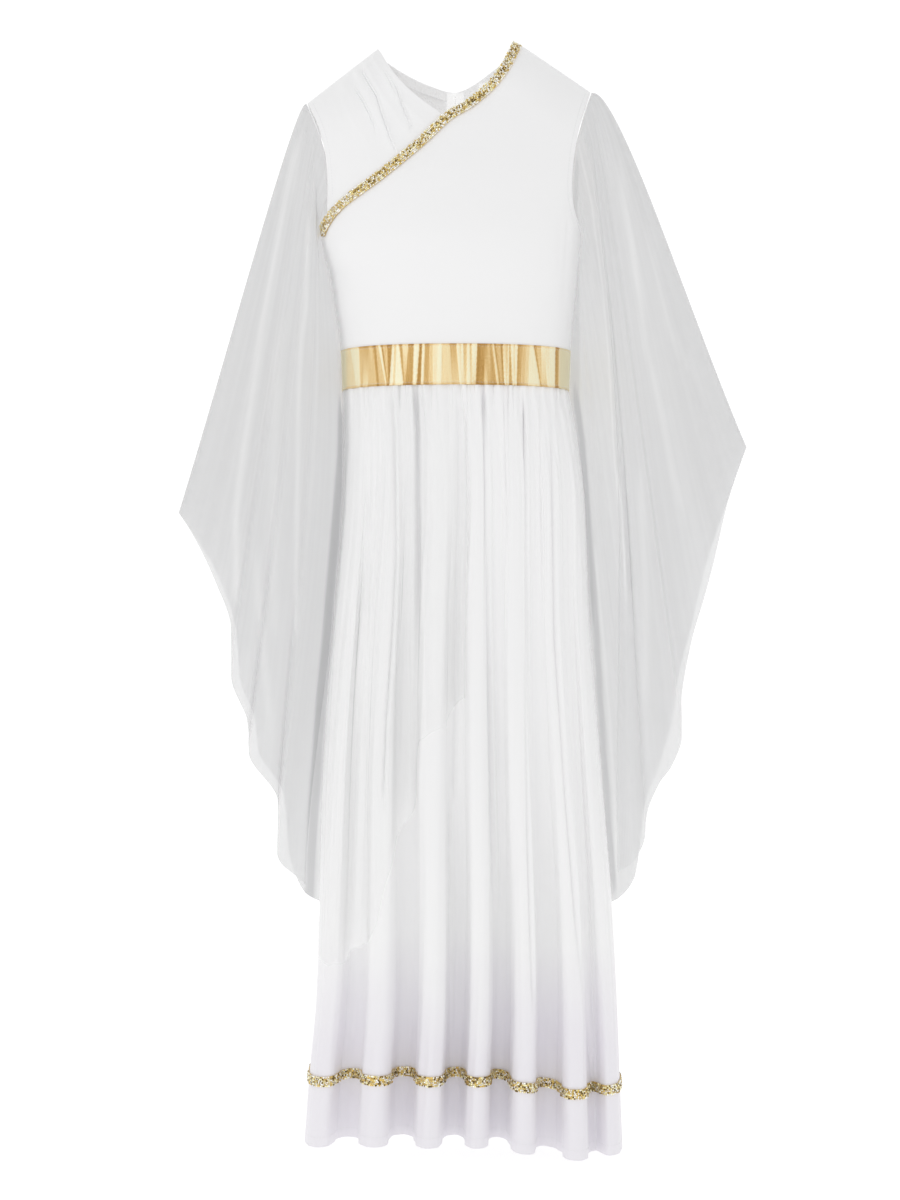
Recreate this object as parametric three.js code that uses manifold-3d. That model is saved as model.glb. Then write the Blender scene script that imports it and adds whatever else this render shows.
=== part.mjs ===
import * as THREE from 'three';
import { mergeVertices } from 'three/addons/utils/BufferGeometryUtils.js';
import Module from 'manifold-3d';

// Roman toga costume, worn and hollow, in millimetres.
// +Z is up and +Y points from the wearer's chest to the back, so -X is the wearer's right side.
// The origin lies midway between the shoulder seams, where the wearer's shoulders hold the dress.

// Driving dimensions

const SATIN = 1.5;
const CHIFFON = 1.2;
const BRAID = 1.0;
const BRAID_WIDTH = 12;
const BELT = 2.0;
const SEAM_GAP = 0.3;
const LAY_GAP = 0.5;

const WAIST_TOP = -346;
const WAIST_BOTTOM = -395.5;
const NECK_HALF_WIDTH = 87.5;
const SHOULDER_ROUNDING = 85;
const NECK_DOME = 35;
const BODY_SQUARENESS = 2.2;
const HEM_SQUARENESS = 3.0;
const HEM_BRAID_HEIGHT = 80;
const ZIP_END = -560;

// Half sections of the body at each height: its left and right sides, and how far front and back stand out

const BODY = [
  { z: -396, left: -133, right: 147, front: 99, back: 94 },
  { z: -346, left: -135, right: 149, front: 100, back: 94 },
  { z: -294, left: -142.5, right: 153.5, front: 105, back: 97 },
  { z: -250, left: -149, right: 158, front: 112, back: 101 },
  { z: -210, left: -161.5, right: 162.5, front: 116, back: 105 },
  { z: -150, left: -168, right: 170, front: 111, back: 107 },
  { z: -90, left: -180, right: 180, front: 98, back: 103 },
  { z: -30, left: -192, right: 190, front: 84, back: 96 },
  { z: 45, left: -196, right: 194, front: 76, back: 90 },
];

// Sections of the skirt, without its folds

const SKIRT = [
  { z: -396, left: -133, right: 147, front: 99, back: 94 },
  { z: -456, left: -131, right: 158, front: 101, back: 97 },
  { z: -531, left: -133, right: 167, front: 103, back: 100 },
  { z: -656, left: -142.5, right: 172, front: 106, back: 104 },
  { z: -780, left: -152.5, right: 181, front: 109, back: 108 },
  { z: -903, left: -159, right: 191, front: 112, back: 112 },
  { z: -1026, left: -162.5, right: 201, front: 114, back: 115 },
  { z: -1148, left: -167, right: 208, front: 116, back: 118 },
  { z: -1239, left: -175.5, right: 211.7, front: 117, back: 119 },
  { z: -1330, left: -182.5, right: 215.6, front: 118, back: 120 },
];

// Height of the hem, front to back alike, against the place across the skirt

const HEM = [
  { x: -190, z: -1327 },
  { x: -92, z: -1315 },
  { x: 31, z: -1315 },
  { x: 87, z: -1322 },
  { x: 155, z: -1333 },
  { x: 220, z: -1334 },
];

// Turning points of the skirt's folds from the left seam to the right one: where each lies at the waist and
// at the hem, and how deep it goes in at the hem. Ridges have no depth.

const FRONT_FOLDS = [
  { waist: -133, hem: -182.5, depth: 2 },
  { waist: -117, hem: -166, depth: 0 },
  { waist: -94, hem: -131, depth: 60 },
  { waist: -75, hem: -92, depth: 0 },
  { waist: -52, hem: -60, depth: 76 },
  { waist: -24, hem: -26, depth: 0 },
  { waist: 6, hem: 4.5, depth: 76 },
  { waist: 25, hem: 31.5, depth: 0 },
  { waist: 45, hem: 60, depth: 74 },
  { waist: 66, hem: 87, depth: 0 },
  { waist: 89, hem: 120, depth: 66 },
  { waist: 106, hem: 155, depth: 0 },
  { waist: 124, hem: 182, depth: 42 },
  { waist: 137, hem: 203, depth: 0 },
  { waist: 147, hem: 215.6, depth: 2 },
];

const BACK_FOLDS = [
  { waist: -133, hem: -182.5, depth: 2 },
  { waist: -120, hem: -168, depth: 0 },
  { waist: -98, hem: -136, depth: 52 },
  { waist: -76, hem: -99, depth: 0 },
  { waist: -54, hem: -66, depth: 70 },
  { waist: -28, hem: -29, depth: 0 },
  { waist: 6, hem: 9, depth: 62 },
  { waist: 32, hem: 44, depth: 0 },
  { waist: 54, hem: 80, depth: 72 },
  { waist: 78, hem: 117, depth: 0 },
  { waist: 103, hem: 153, depth: 50 },
  { waist: 129, hem: 192, depth: 0 },
  { waist: 147, hem: 215.6, depth: 2 },
];

const CENTRE_BACK_FOLD = 6;
const STEPS_PER_TURN = 6;
const SKIRT_ROWS = [0, 0.035, 0.09, 0.2, 0.36, 0.55, 0.77, 1];
const GATHERS_PER_FOLD = 3;
const GATHER_DEPTH = 2.2;
const GATHER_FADE = 0.2;
const FOLD_STEEPNESS = 0.85;

// Lower edge of the overlay along the front folds

const OVERLAY_EDGE = [
  { fold: 0, z: -1098 },
  { fold: 1.2, z: -1102 },
  { fold: 2.1, z: -1082 },
  { fold: 2.7, z: -1070 },
  { fold: 3.0, z: -1045 },
  { fold: 3.4, z: -957 },
  { fold: 4.0, z: -927 },
  { fold: 4.4, z: -880 },
  { fold: 4.7, z: -822 },
  { fold: 5.6, z: -800 },
  { fold: 6.5, z: -774 },
];

// Edges of the bodice panels, seen from the front; armholes and slant start at the underarm, on the
// side seam

const LEFT_TIP = { x: -177.5, z: -36.2 };
const RIGHT_TIP = { x: 175, z: -22.5 };
const LEFT_NECK = { x: -90, z: 30 };
const RIGHT_NECK = { x: 85, z: 37.5 };
const LEFT_UNDERARM = -212;
const RIGHT_UNDERARM = -202;

const LEFT_ARMHOLE = [
  { x: -153, z: -193 },
  { x: -149, z: -165 },
  { x: -149.5, z: -137 },
  { x: -153, z: -105 },
  { x: -161.5, z: -73 },
  { x: -177.5, z: -36.2 },
];

const RIGHT_ARMHOLE = [
  { x: 153.5, z: -181 },
  { x: 149, z: -157 },
  { x: 150, z: -127 },
  { x: 155.5, z: -89 },
  { x: 164, z: -55 },
  { x: 175, z: -22.5 },
];

// The slanting edge of the main front, from the left underarm to the right neck point

const SLANT = [
  { x: -151, z: -193.5 },
  { x: -134.5, z: -176.5 },
  { x: -85, z: -143.5 },
  { x: -36.5, z: -104 },
  { x: 0, z: -69 },
  { x: 24.5, z: -53.5 },
  { x: 49, z: -31 },
  { x: 66, z: -8 },
  { x: 76, z: 14 },
  { x: 85, z: 37.5 },
];

// Where the armhole leaves the slant, and where the front neckline meets it
const SLANT_ARMHOLE_PLACE = 0.07;
const SLANT_NECK_PLACE = 0.59;

const FRONT_NECK = [
  { x: -3.5, z: -72 },
  { x: -23, z: -57.8 },
  { x: -40.2, z: -43.9 },
  { x: -57.5, z: -27.2 },
  { x: -70.8, z: -9.4 },
  { x: -80.5, z: 8.6 },
  { x: -90, z: 30 },
];

const BACK_NECK = [
  { x: -90, z: 30 },
  { x: -66.4, z: 20.4 },
  { x: -30, z: 6.6 },
  { x: 7, z: -2.4 },
  { x: 30, z: 6.2 },
  { x: 56, z: 21.6 },
  { x: 85, z: 37.5 },
];
const BACK_NECK_CENTRE = BACK_NECK[3];
const CENTRE_BACK_X = BACK_NECK_CENTRE.x;

// Pleats of the shoulder panel, side by side from armhole to neck, with their depth

const SHOULDER_PLEATS = [
  { seam: 0.46, slant: 0.4, depth: 1.6, width: 0.05 },
  { seam: 0.66, slant: 0.6, depth: 2.2, width: 0.05 },
  { seam: 0.79, slant: 0.74, depth: 2.4, width: 0.05 },
  { seam: 0.91, slant: 0.87, depth: 2.0, width: 0.045 },
];

// Sleeve panels: for stations from the front inner edge over the outer fold to the back inner edge, the
// place along the armhole seam, the hem point, and how far the column between them sways sideways

const LEFT_SLEEVE = [
  { seam: 0, x: -179, y: -36, z: -1008, sway: 290 },
  { seam: 0.08, x: -213, y: -35, z: -968, sway: 150 },
  { seam: 0.15, x: -213, y: -32, z: -905, sway: 75 },
  { seam: 0.22, x: -249, y: -28, z: -846, sway: 30 },
  { seam: 0.28, x: -251, y: -25, z: -806, sway: 12 },
  { seam: 0.34, x: -272, y: -21, z: -748, sway: 0 },
  { seam: 0.39, x: -272, y: -18, z: -690, sway: 0 },
  { seam: 0.43, x: -293, y: -14, z: -630, sway: 0 },
  { seam: 0.47, x: -324, y: -8, z: -569, sway: 0 },
  { seam: 0.5, x: -339, y: 0, z: -547, sway: 0 },
  { seam: 0.53, x: -322, y: 9, z: -572, sway: 0 },
  { seam: 0.58, x: -289, y: 18, z: -632, sway: 0 },
  { seam: 0.63, x: -268, y: 24, z: -700, sway: 0 },
  { seam: 0.69, x: -266, y: 29, z: -752, sway: 0 },
  { seam: 0.75, x: -246, y: 33, z: -806, sway: 0 },
  { seam: 0.81, x: -243, y: 38, z: -846, sway: 12 },
  { seam: 0.87, x: -209, y: 45, z: -908, sway: 30 },
  { seam: 0.92, x: -207, y: 58, z: -968, sway: 70 },
  { seam: 0.96, x: -186, y: 78, z: -1030, sway: 150 },
  { seam: 1, x: -156, y: 104, z: -1050, sway: 230 },
];

const RIGHT_SLEEVE = [
  { seam: 0, x: 207.5, y: -36, z: -993, sway: 155 },
  { seam: 0.06, x: 224, y: -35, z: -981, sway: 120 },
  { seam: 0.11, x: 241, y: -32, z: -950, sway: 85 },
  { seam: 0.15, x: 244, y: -30, z: -920, sway: 60 },
  { seam: 0.2, x: 258, y: -28, z: -884, sway: 45 },
  { seam: 0.24, x: 275, y: -26, z: -862, sway: 30 },
  { seam: 0.28, x: 287, y: -24, z: -825, sway: 20 },
  { seam: 0.32, x: 287, y: -21, z: -785, sway: 10 },
  { seam: 0.36, x: 301, y: -18, z: -705, sway: 0 },
  { seam: 0.39, x: 315, y: -15, z: -656, sway: 0 },
  { seam: 0.42, x: 329, y: -12, z: -605, sway: 0 },
  { seam: 0.45, x: 347, y: -7, z: -532, sway: 0 },
  { seam: 0.48, x: 370.5, y: 0, z: -465, sway: 0 },
  { seam: 0.52, x: 350, y: 8, z: -525, sway: 0 },
  { seam: 0.57, x: 324, y: 16, z: -605, sway: 0 },
  { seam: 0.63, x: 304, y: 22, z: -685, sway: 0 },
  { seam: 0.68, x: 288, y: 27, z: -755, sway: 0 },
  { seam: 0.74, x: 280, y: 31, z: -805, sway: 0 },
  { seam: 0.8, x: 266, y: 36, z: -862, sway: 0 },
  { seam: 0.86, x: 246, y: 42, z: -915, sway: -15 },
  { seam: 0.92, x: 236, y: 52, z: -1005, sway: -40 },
  { seam: 0.96, x: 212, y: 78, z: -1040, sway: -90 },
  { seam: 1, x: 186, y: 110, z: -1052, sway: -125 },
];

const SLEEVE_COLUMNS = 38;
const SLEEVE_ROWS = 9;
const SLEEVE_SEAM_GAP = 1.9;
const SLEEVE_RIPPLE = 5;
const SLEEVE_RIPPLES = 9;

// Where the front seam of each sleeve ends on the armhole, counted from the underarm, and how far its inner
// edge stands clear of the body sideways and tucks back beside it; its outer fold bulges below the shoulder
const LEFT_HANG = { frontEnd: 0.3, clearance: 16, tuck: 12, bulge: 18 };
const RIGHT_HANG = { frontEnd: 0.7, clearance: 8, tuck: 0, bulge: 42 };

// Curves through the rows of a table

function mix(a, b, t) {
  return a + (b - a) * t;
}

function clamp(value, low, high) {
  return Math.min(high, Math.max(low, value));
}

// A monotone cubic curve of one column against another, so that no value overshoots its rows
function curve(rows, across, column) {
  const xs = rows.map((row) => row[across]);
  const ys = rows.map((row) => row[column]);
  const slopes = xs.slice(1).map((x, i) => (ys[i + 1] - ys[i]) / (x - xs[i]));
  const tangents = xs.map((_, i) => {
    const before = slopes[i - 1] ?? slopes[i];
    const after = slopes[i] ?? before;
    return before * after <= 0 ? 0 : (2 * before * after) / (before + after);
  });
  return (at) => {
    const x = clamp(at, xs[0], xs[xs.length - 1]);
    const i = Math.min(Math.max(xs.findIndex((value) => value >= x) - 1, 0), xs.length - 2);
    const span = xs[i + 1] - xs[i];
    const t = (x - xs[i]) / span;
    const rise = ys[i + 1] - ys[i];
    const bend = tangents[i] * span;
    const straighten = tangents[i + 1] * span;
    return ys[i] + t * (bend + t * (3 * rise - 2 * bend - straighten + t * (bend + straighten - 2 * rise)));
  };
}

// A smooth path through front-view points, by arc length from 0 to 1
function path(points) {
  const spline = new THREE.CatmullRomCurve3(points.map((point) => new THREE.Vector3(point.x, 0, point.z)));
  spline.arcLengthDivisions = 400;
  return (t) => spline.getPointAt(clamp(t, 0, 1));
}

function sectionCurves(rows) {
  const upward = [...rows].sort((a, b) => a.z - b.z);
  const columns = ['left', 'right', 'front', 'back'];
  return Object.fromEntries(columns.map((column) => [column, curve(upward, 'z', column)]));
}

// The body's surface

const body = sectionCurves(BODY);

function shoulderLine(x) {
  const leftSlope = (LEFT_NECK.z - LEFT_TIP.z) / (LEFT_NECK.x - LEFT_TIP.x);
  const rightSlope = (RIGHT_NECK.z - RIGHT_TIP.z) / (RIGHT_NECK.x - RIGHT_TIP.x);
  if (x < LEFT_NECK.x) return LEFT_NECK.z + leftSlope * (x - LEFT_NECK.x);
  if (x > RIGHT_NECK.x) return RIGHT_NECK.z + rightSlope * (x - RIGHT_NECK.x);
  const across = (x - (LEFT_NECK.x + RIGHT_NECK.x) / 2) / NECK_HALF_WIDTH;
  const base = mix(LEFT_NECK.z, RIGHT_NECK.z, (x - LEFT_NECK.x) / (RIGHT_NECK.x - LEFT_NECK.x));
  return base + NECK_DOME * Math.max(0, 1 - across * across);
}

// How far the body stands out at a place in the front view; side is 'front' or 'back'
function bodyDepth(x, z, side) {
  const left = body.left(z);
  const right = body.right(z);
  const across = clamp((2 * x - left - right) / (right - left), -1, 1);
  const round = (1 - Math.abs(across) ** BODY_SQUARENESS) ** (1 / BODY_SQUARENESS);
  const below = clamp((shoulderLine(x) - z) / SHOULDER_ROUNDING, 0, 1);
  const closing = Math.sqrt(1 - (1 - below) ** 2);
  return body[side](z) * round * closing;
}

// A point on the body's surface, moved out along its normal
function bodyPoint(x, z, side, out = 0) {
  const facing = side === 'front' ? -1 : 1;
  const step = 0.02;
  const depth = bodyDepth(x, z, side);
  if (x < body.left(z) + step || x > body.right(z) - step) return bodySidePoint(x, z, facing, out);
  const slopeX = (bodyDepth(x + step, z, side) - bodyDepth(x - step, z, side)) / (2 * step);
  const slopeZ = (bodyDepth(x, z + step, side) - bodyDepth(x, z - step, side)) / (2 * step);
  const normal = new THREE.Vector3(-slopeX, facing, -slopeZ).normalize();
  const seamed = Math.max(depth, SEAM_GAP / 2);
  const point = new THREE.Vector3(x, facing * seamed, z);
  return { point: point.addScaledVector(normal, out), normal };
}

// The same on the side seam itself, where front and back face the same way
function bodySidePoint(x, z, facing, out) {
  const step = 1;
  const edge = x < 0 ? body.left : body.right;
  const slope = (edge(z + step) - edge(z - step)) / (2 * step);
  const normal = new THREE.Vector3(Math.sign(x), 0, -Math.sign(x) * slope).normalize();
  const point = new THREE.Vector3(edge(z), (facing * SEAM_GAP) / 2, z);
  return { point: point.addScaledVector(normal, out), normal };
}

// A closed wall of cloth round a grid of middle points and normals

function wall(columns, rows, thickness, place) {
  const positions = [];
  for (const face of [0.5, -0.5]) {
    for (let row = 0; row <= rows; row += 1) {
      for (let column = 0; column <= columns; column += 1) {
        const { point, normal } = place(column / columns, row / rows, column, row);
        const corner = point.clone().addScaledVector(normal, face * thickness);
        positions.push(corner.x, corner.y, corner.z);
      }
    }
  }
  const layer = (columns + 1) * (rows + 1);
  const at = (column, row, face) => face * layer + row * (columns + 1) + column;
  const triangles = [];
  const quad = (a, b, c, d) => triangles.push(a, b, c, a, c, d);
  for (let row = 0; row < rows; row += 1) {
    for (let column = 0; column < columns; column += 1) {
      const corners = [[column, row], [column + 1, row], [column + 1, row + 1], [column, row + 1]];
      quad(...corners.map(([c, r]) => at(c, r, 0)));
      quad(...corners.map(([c, r]) => at(c, r, 1)).reverse());
    }
  }
  for (let column = 0; column < columns; column += 1) {
    quad(at(column, 0, 0), at(column, 0, 1), at(column + 1, 0, 1), at(column + 1, 0, 0));
    quad(at(column + 1, rows, 0), at(column + 1, rows, 1), at(column, rows, 1), at(column, rows, 0));
  }
  for (let row = 0; row < rows; row += 1) {
    quad(at(0, row + 1, 0), at(0, row + 1, 1), at(0, row, 1), at(0, row, 0));
    quad(at(columns, row, 0), at(columns, row, 1), at(columns, row + 1, 1), at(columns, row + 1, 0));
  }
  const geometry = new THREE.BufferGeometry();
  geometry.setAttribute('position', new THREE.Float32BufferAttribute(positions, 3));
  geometry.setIndex(volume(positions, triangles) < 0 ? triangles.reverse() : triangles);
  geometry.computeVertexNormals();
  return geometry;
}

function volume(positions, triangles) {
  const corner = (i) => new THREE.Vector3().fromArray(positions, 3 * i);
  let total = 0;
  for (let i = 0; i < triangles.length; i += 3) {
    const [a, b, c] = [corner(triangles[i]), corner(triangles[i + 1]), corner(triangles[i + 2])];
    total += a.dot(b.cross(c));
  }
  return total;
}

// Front-view position inside four edge paths: bottom and top run left to right, left and right run upward
function patch({ bottom, top, left, right }, u, v) {
  const across = bottom(u).multiplyScalar(1 - v).addScaledVector(top(u), v);
  const upward = left(v).multiplyScalar(1 - u).addScaledVector(right(v), u);
  const corners = bottom(0).multiplyScalar((1 - u) * (1 - v));
  corners.addScaledVector(bottom(1), u * (1 - v));
  corners.addScaledVector(top(0), (1 - u) * v);
  corners.addScaledVector(top(1), u * v);
  return across.add(upward).sub(corners);
}

// Two edge paths one after the other, joined at a share of the way
function joined(first, second, share) {
  return (t) => (t < share ? first(t / share) : second((t - share) / (1 - share)));
}

function straight(from, to) {
  return (t) => new THREE.Vector3(mix(from.x, to.x, t), 0, mix(from.z, to.z, t));
}

function sideSeam(side, underarm) {
  return (t) => {
    const z = mix(WAIST_TOP + SEAM_GAP / 2, underarm, t);
    return new THREE.Vector3(body[side](z), 0, z);
  };
}

// Columns crowd towards edges that turn round the body, and rows towards the shoulder seam
const crowdBoth = (u) => 0.5 - 0.5 * Math.cos(Math.PI * u);
const crowdEnd = (u) => Math.sin((Math.PI / 2) * u);
const crowdStart = (u) => 1 - Math.cos((Math.PI / 2) * u);
const crowdTop = (v) => 1 - (1 - v) ** 1.9;

const SIDE_SHARE = 0.42;
const onLeftSide = { x: body.left(LEFT_UNDERARM), z: LEFT_UNDERARM };
const onRightSide = { x: body.right(RIGHT_UNDERARM), z: RIGHT_UNDERARM };
const armholes = {
  left: path([onLeftSide, ...LEFT_ARMHOLE]),
  right: path([onRightSide, ...RIGHT_ARMHOLE]),
};
const slant = path([onLeftSide, ...SLANT]);
const waistLeft = { x: body.left(WAIST_TOP), z: WAIST_TOP + SEAM_GAP / 2 };
const waistRight = { x: body.right(WAIST_TOP), z: WAIST_TOP + SEAM_GAP / 2 };
const leftSide = joined(sideSeam('left', LEFT_UNDERARM), armholes.left, SIDE_SHARE);
const rightSide = joined(sideSeam('right', RIGHT_UNDERARM), armholes.right, SIDE_SHARE);

function bodicePanel(edges, side, columns, rows, easeU) {
  return wall(columns, rows, SATIN, (u, v) => {
    const place = patch(edges, easeU(u), crowdTop(v));
    return bodyPoint(place.x, place.z, side);
  });
}

// Main front: slanting top edge on the left, shoulder seam and armhole on the right
function bodiceFront() {
  const neckShare = 0.76;
  const edges = {
    bottom: straight(waistLeft, waistRight),
    top: joined(slant, straight(RIGHT_NECK, RIGHT_TIP), neckShare),
    left: sideSeam('left', LEFT_UNDERARM),
    right: rightSide,
  };
  return bodicePanel(edges, 'front', 22, 13, crowdBoth);
}

function pleatHeight(u, v) {
  let height = 0;
  for (const pleat of SHOULDER_PLEATS) {
    const distance = (u - mix(pleat.slant, pleat.seam, v)) / pleat.width;
    height += pleat.depth * Math.exp(-distance * distance) * mix(0.5, 1, v);
  }
  return height;
}

// Pleated panel over the right shoulder of the wearer, tucked under the slanting edge
function shoulderPanel() {
  const under = 1.6;
  const foot = slant(SLANT_ARMHOLE_PLACE);
  const edges = {
    bottom: (t) => slant(mix(SLANT_ARMHOLE_PLACE, SLANT_NECK_PLACE, t)),
    top: straight(LEFT_TIP, LEFT_NECK),
    left: path([foot, ...LEFT_ARMHOLE.slice(1)]),
    right: path(FRONT_NECK),
  };
  return wall(24, 10, SATIN, (u, v) => {
    const eased = crowdTop(v);
    const place = patch(edges, u, eased);
    place.x -= under * (1 - eased) ** 3;
    place.z += under * (1 - eased) ** 3;
    const fromEdge = Math.min(eased, 1 - eased, u, 1 - u);
    const fade = clamp(8 * fromEdge, 0, 1);
    return bodyPoint(place.x, place.z, 'front', fade * pleatHeight(u, eased));
  });
}

const backNeck = path(BACK_NECK);

// Share of the back neckline that lies before a place across
function backNeckShare(x) {
  let [low, high] = [0, 1];
  for (let step = 0; step < 30; step += 1) {
    const middle = (low + high) / 2;
    if (backNeck(middle).x < x) low = middle;
    else high = middle;
  }
  return low;
}

// Half backs, meeting at the zip
function bodiceBack(hand) {
  const zipX = CENTRE_BACK_X + (hand === 'left' ? -SEAM_GAP / 2 : SEAM_GAP / 2);
  const zipShare = backNeckShare(zipX);
  const zipFoot = { x: zipX, z: WAIST_TOP + SEAM_GAP / 2 };
  const zipEdge = straight(zipFoot, backNeck(zipShare));
  const neckShare = 0.5;
  if (hand === 'left') {
    const neckEdge = (t) => backNeck(zipShare * t);
    const edges = {
      bottom: straight(waistLeft, zipFoot),
      top: joined(straight(LEFT_TIP, LEFT_NECK), neckEdge, neckShare),
      left: leftSide,
      right: zipEdge,
    };
    return bodicePanel(edges, 'back', 15, 13, crowdStart);
  }
  const neckEdge = (t) => backNeck(mix(zipShare, 1, t));
  const edges = {
    bottom: straight(zipFoot, waistRight),
    top: joined(neckEdge, straight(RIGHT_NECK, RIGHT_TIP), 1 - neckShare),
    left: zipEdge,
    right: rightSide,
  };
  return bodicePanel(edges, 'back', 15, 13, crowdEnd);
}

// Belt, sewn between bodice and skirt
function belt(side, from, to, columns) {
  const proud = 0.5;
  return wall(columns, 2, BELT, (u, v) => {
    const z = mix(WAIST_BOTTOM + SEAM_GAP / 2, WAIST_TOP - SEAM_GAP / 2, v);
    const angle = mix(from, to, u);
    const half = (body.right(z) - body.left(z)) / 2;
    const x = (body.right(z) + body.left(z)) / 2 + half * Math.sin(angle);
    return bodyPoint(x, z, side, proud);
  });
}

const BELT_QUARTER = Math.PI / 2;

// The skirt

const skirt = sectionCurves(SKIRT);
const hemHeight = curve(HEM, 'x', 'z');

// Where a turning point lies between the side seams, from 0 to 1
function shareAcross(folds, row, drop) {
  const [first, last] = [folds[0], folds[folds.length - 1]];
  const atWaist = (row.waist - first.waist) / (last.waist - first.waist);
  const atHem = (row.hem - first.hem) / (last.hem - first.hem);
  return mix(atWaist, atHem, drop);
}

// Point of the skirt's middle surface; fold counts the turning points, drop runs from waist 0 to hem 1
function skirtMiddle(folds, fold, drop, side) {
  const from = clamp(Math.floor(fold), 0, folds.length - 2);
  const turn = fold - from;
  const [a, b] = [folds[from], folds[from + 1]];
  const steep = clamp(3 * drop, 0, 1) * FOLD_STEEPNESS;
  const eased = turn + (steep * Math.sin(2 * Math.PI * turn)) / (2 * Math.PI);
  const hemX = mix(a.hem, b.hem, eased);
  const z = mix(WAIST_BOTTOM - SEAM_GAP / 2, hemHeight(hemX), drop);
  const squareness = mix(BODY_SQUARENESS, HEM_SQUARENESS, clamp(1.4 * drop, 0, 1));
  const halfWidth = (skirt.right(z) - skirt.left(z)) / 2;
  const centre = (skirt.right(z) + skirt.left(z)) / 2;
  const share = mix(shareAcross(folds, a, drop), shareAcross(folds, b, drop), eased);
  const across = clamp(2 * share - 1, -1, 1);
  const round = (1 - Math.abs(across) ** squareness) ** (1 / squareness);
  const depth = skirt[side](z);
  const facing = side === 'front' ? -1 : 1;
  const standing = Math.max(depth * round, SEAM_GAP / 2);
  const base = new THREE.Vector3(centre + halfWidth * across, facing * standing, z);
  const outX = (Math.sign(across) * Math.abs(across) ** (squareness - 1)) / halfWidth;
  const outY = round ** (squareness - 1) / depth;
  const sideways = Math.abs(across) ** 8;
  const out = new THREE.Vector3(outX, facing * outY, 0).normalize().multiplyScalar(sideways);
  out.y += facing * (1 - sideways);
  out.normalize();
  const wave = 0.5 - 0.5 * Math.cos(Math.PI * turn);
  const hemDepth = mix(a.depth, b.depth, wave);
  const deepening = 0.55 * drop + 0.45 * drop * drop;
  const gathering = GATHER_DEPTH * Math.max(0, 1 - drop / GATHER_FADE) ** 2;
  const gather = gathering * (0.5 - 0.5 * Math.cos(Math.PI * GATHERS_PER_FOLD * turn + Math.PI * from));
  return base.addScaledVector(out, -hemDepth * deepening - gather);
}

function skirtPoint(folds, fold, drop, side, out = 0) {
  const step = 0.004;
  const last = folds.length - 1;
  const point = skirtMiddle(folds, fold, drop, side);
  const around = skirtMiddle(folds, Math.min(fold + step, last), drop, side);
  around.sub(skirtMiddle(folds, Math.max(fold - step, 0), drop, side));
  const downward = skirtMiddle(folds, fold, Math.min(drop + step, 1), side);
  downward.sub(skirtMiddle(folds, fold, Math.max(drop - step, 0), side));
  const normal = side === 'front' ? downward.cross(around) : around.cross(downward);
  normal.normalize();
  if (fold <= 0 || fold >= last) normal.set(fold <= 0 ? -1 : 1, 0, 0);
  return { point: point.addScaledVector(normal, out), normal };
}

function skirtPanel(folds, side, from, to) {
  const columns = (to - from) * STEPS_PER_TURN;
  return wall(columns, SKIRT_ROWS.length - 1, SATIN, (u, _v, _column, row) => {
    const placed = skirtPoint(folds, mix(from, to, u), SKIRT_ROWS[row], side);
    if (side === 'back') placed.point.x += centreBackShift(from, to, u);
    return placed;
  });
}

// Half the seam gap at the centre back edge of each half
function centreBackShift(from, to, u) {
  if (to === CENTRE_BACK_FOLD) return -0.5 * SEAM_GAP * u;
  return 0.5 * SEAM_GAP * (1 - u);
}

function hemBraid(folds, side, from, to) {
  const columns = (to - from) * STEPS_PER_TURN;
  const out = SATIN / 2 + LAY_GAP + BRAID / 2;
  return wall(columns, 1, BRAID, (u, v) => {
    const fold = mix(from, to, u);
    const height = HEM_BRAID_HEIGHT + (v - 0.5) * BRAID_WIDTH;
    const length = WAIST_BOTTOM - skirtMiddle(folds, fold, 1, side).z;
    return skirtPoint(folds, fold, 1 - height / length, side, out);
  });
}

const overlayEdge = curve(OVERLAY_EDGE, 'fold', 'z');
const OVERLAY_FOLDS = 6.5;
const OVERLAY_ROWS = 8;

// Sheer overlay on the left of the front, made from the skirt's points
function overlay() {
  const out = SATIN / 2 + LAY_GAP + 0.4 + CHIFFON / 2;
  return wall(OVERLAY_FOLDS * STEPS_PER_TURN, OVERLAY_ROWS, CHIFFON, (u, v) => {
    const fold = OVERLAY_FOLDS * u;
    const top = WAIST_BOTTOM - SEAM_GAP / 2;
    const hem = skirtMiddle(FRONT_FOLDS, fold, 1, 'front').z;
    const drop = (v * (top - overlayEdge(fold))) / (top - hem);
    return skirtPoint(FRONT_FOLDS, fold, drop, 'front', out);
  });
}

// Gold braid along the slanting edge, lying on the seam
function slantBraid() {
  const out = SATIN / 2 + 2 * LAY_GAP + BRAID / 2;
  return wall(34, 2, BRAID, (u, v) => {
    const along = mix(0.02, 0.975, u);
    const place = slant(along);
    const ahead = slant(Math.min(along + 0.01, 1)).sub(slant(Math.max(along - 0.01, 0))).normalize();
    const offset = (v - 0.5) * BRAID_WIDTH;
    const x = place.x - ahead.z * offset;
    const z = place.z + ahead.x * offset;
    return bodyPoint(x, z, 'front', out);
  });
}

// Narrow facing inside the back neck, a piece each side of the zip tapes
function neckFacing(hand) {
  const depth = 12;
  const thickness = 1;
  const inside = -2.4;
  const fromZip = 12.5;
  const range = hand === 'left' ? [-58, CENTRE_BACK_X - fromZip] : [CENTRE_BACK_X + fromZip, 60];
  const [start, end] = range.map(backNeckShare);
  return wall(10, 1, thickness, (u, v) => {
    const place = backNeck(mix(start, end, u));
    return bodyPoint(place.x, place.z - 1 - depth * v, 'back', inside);
  });
}

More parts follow.
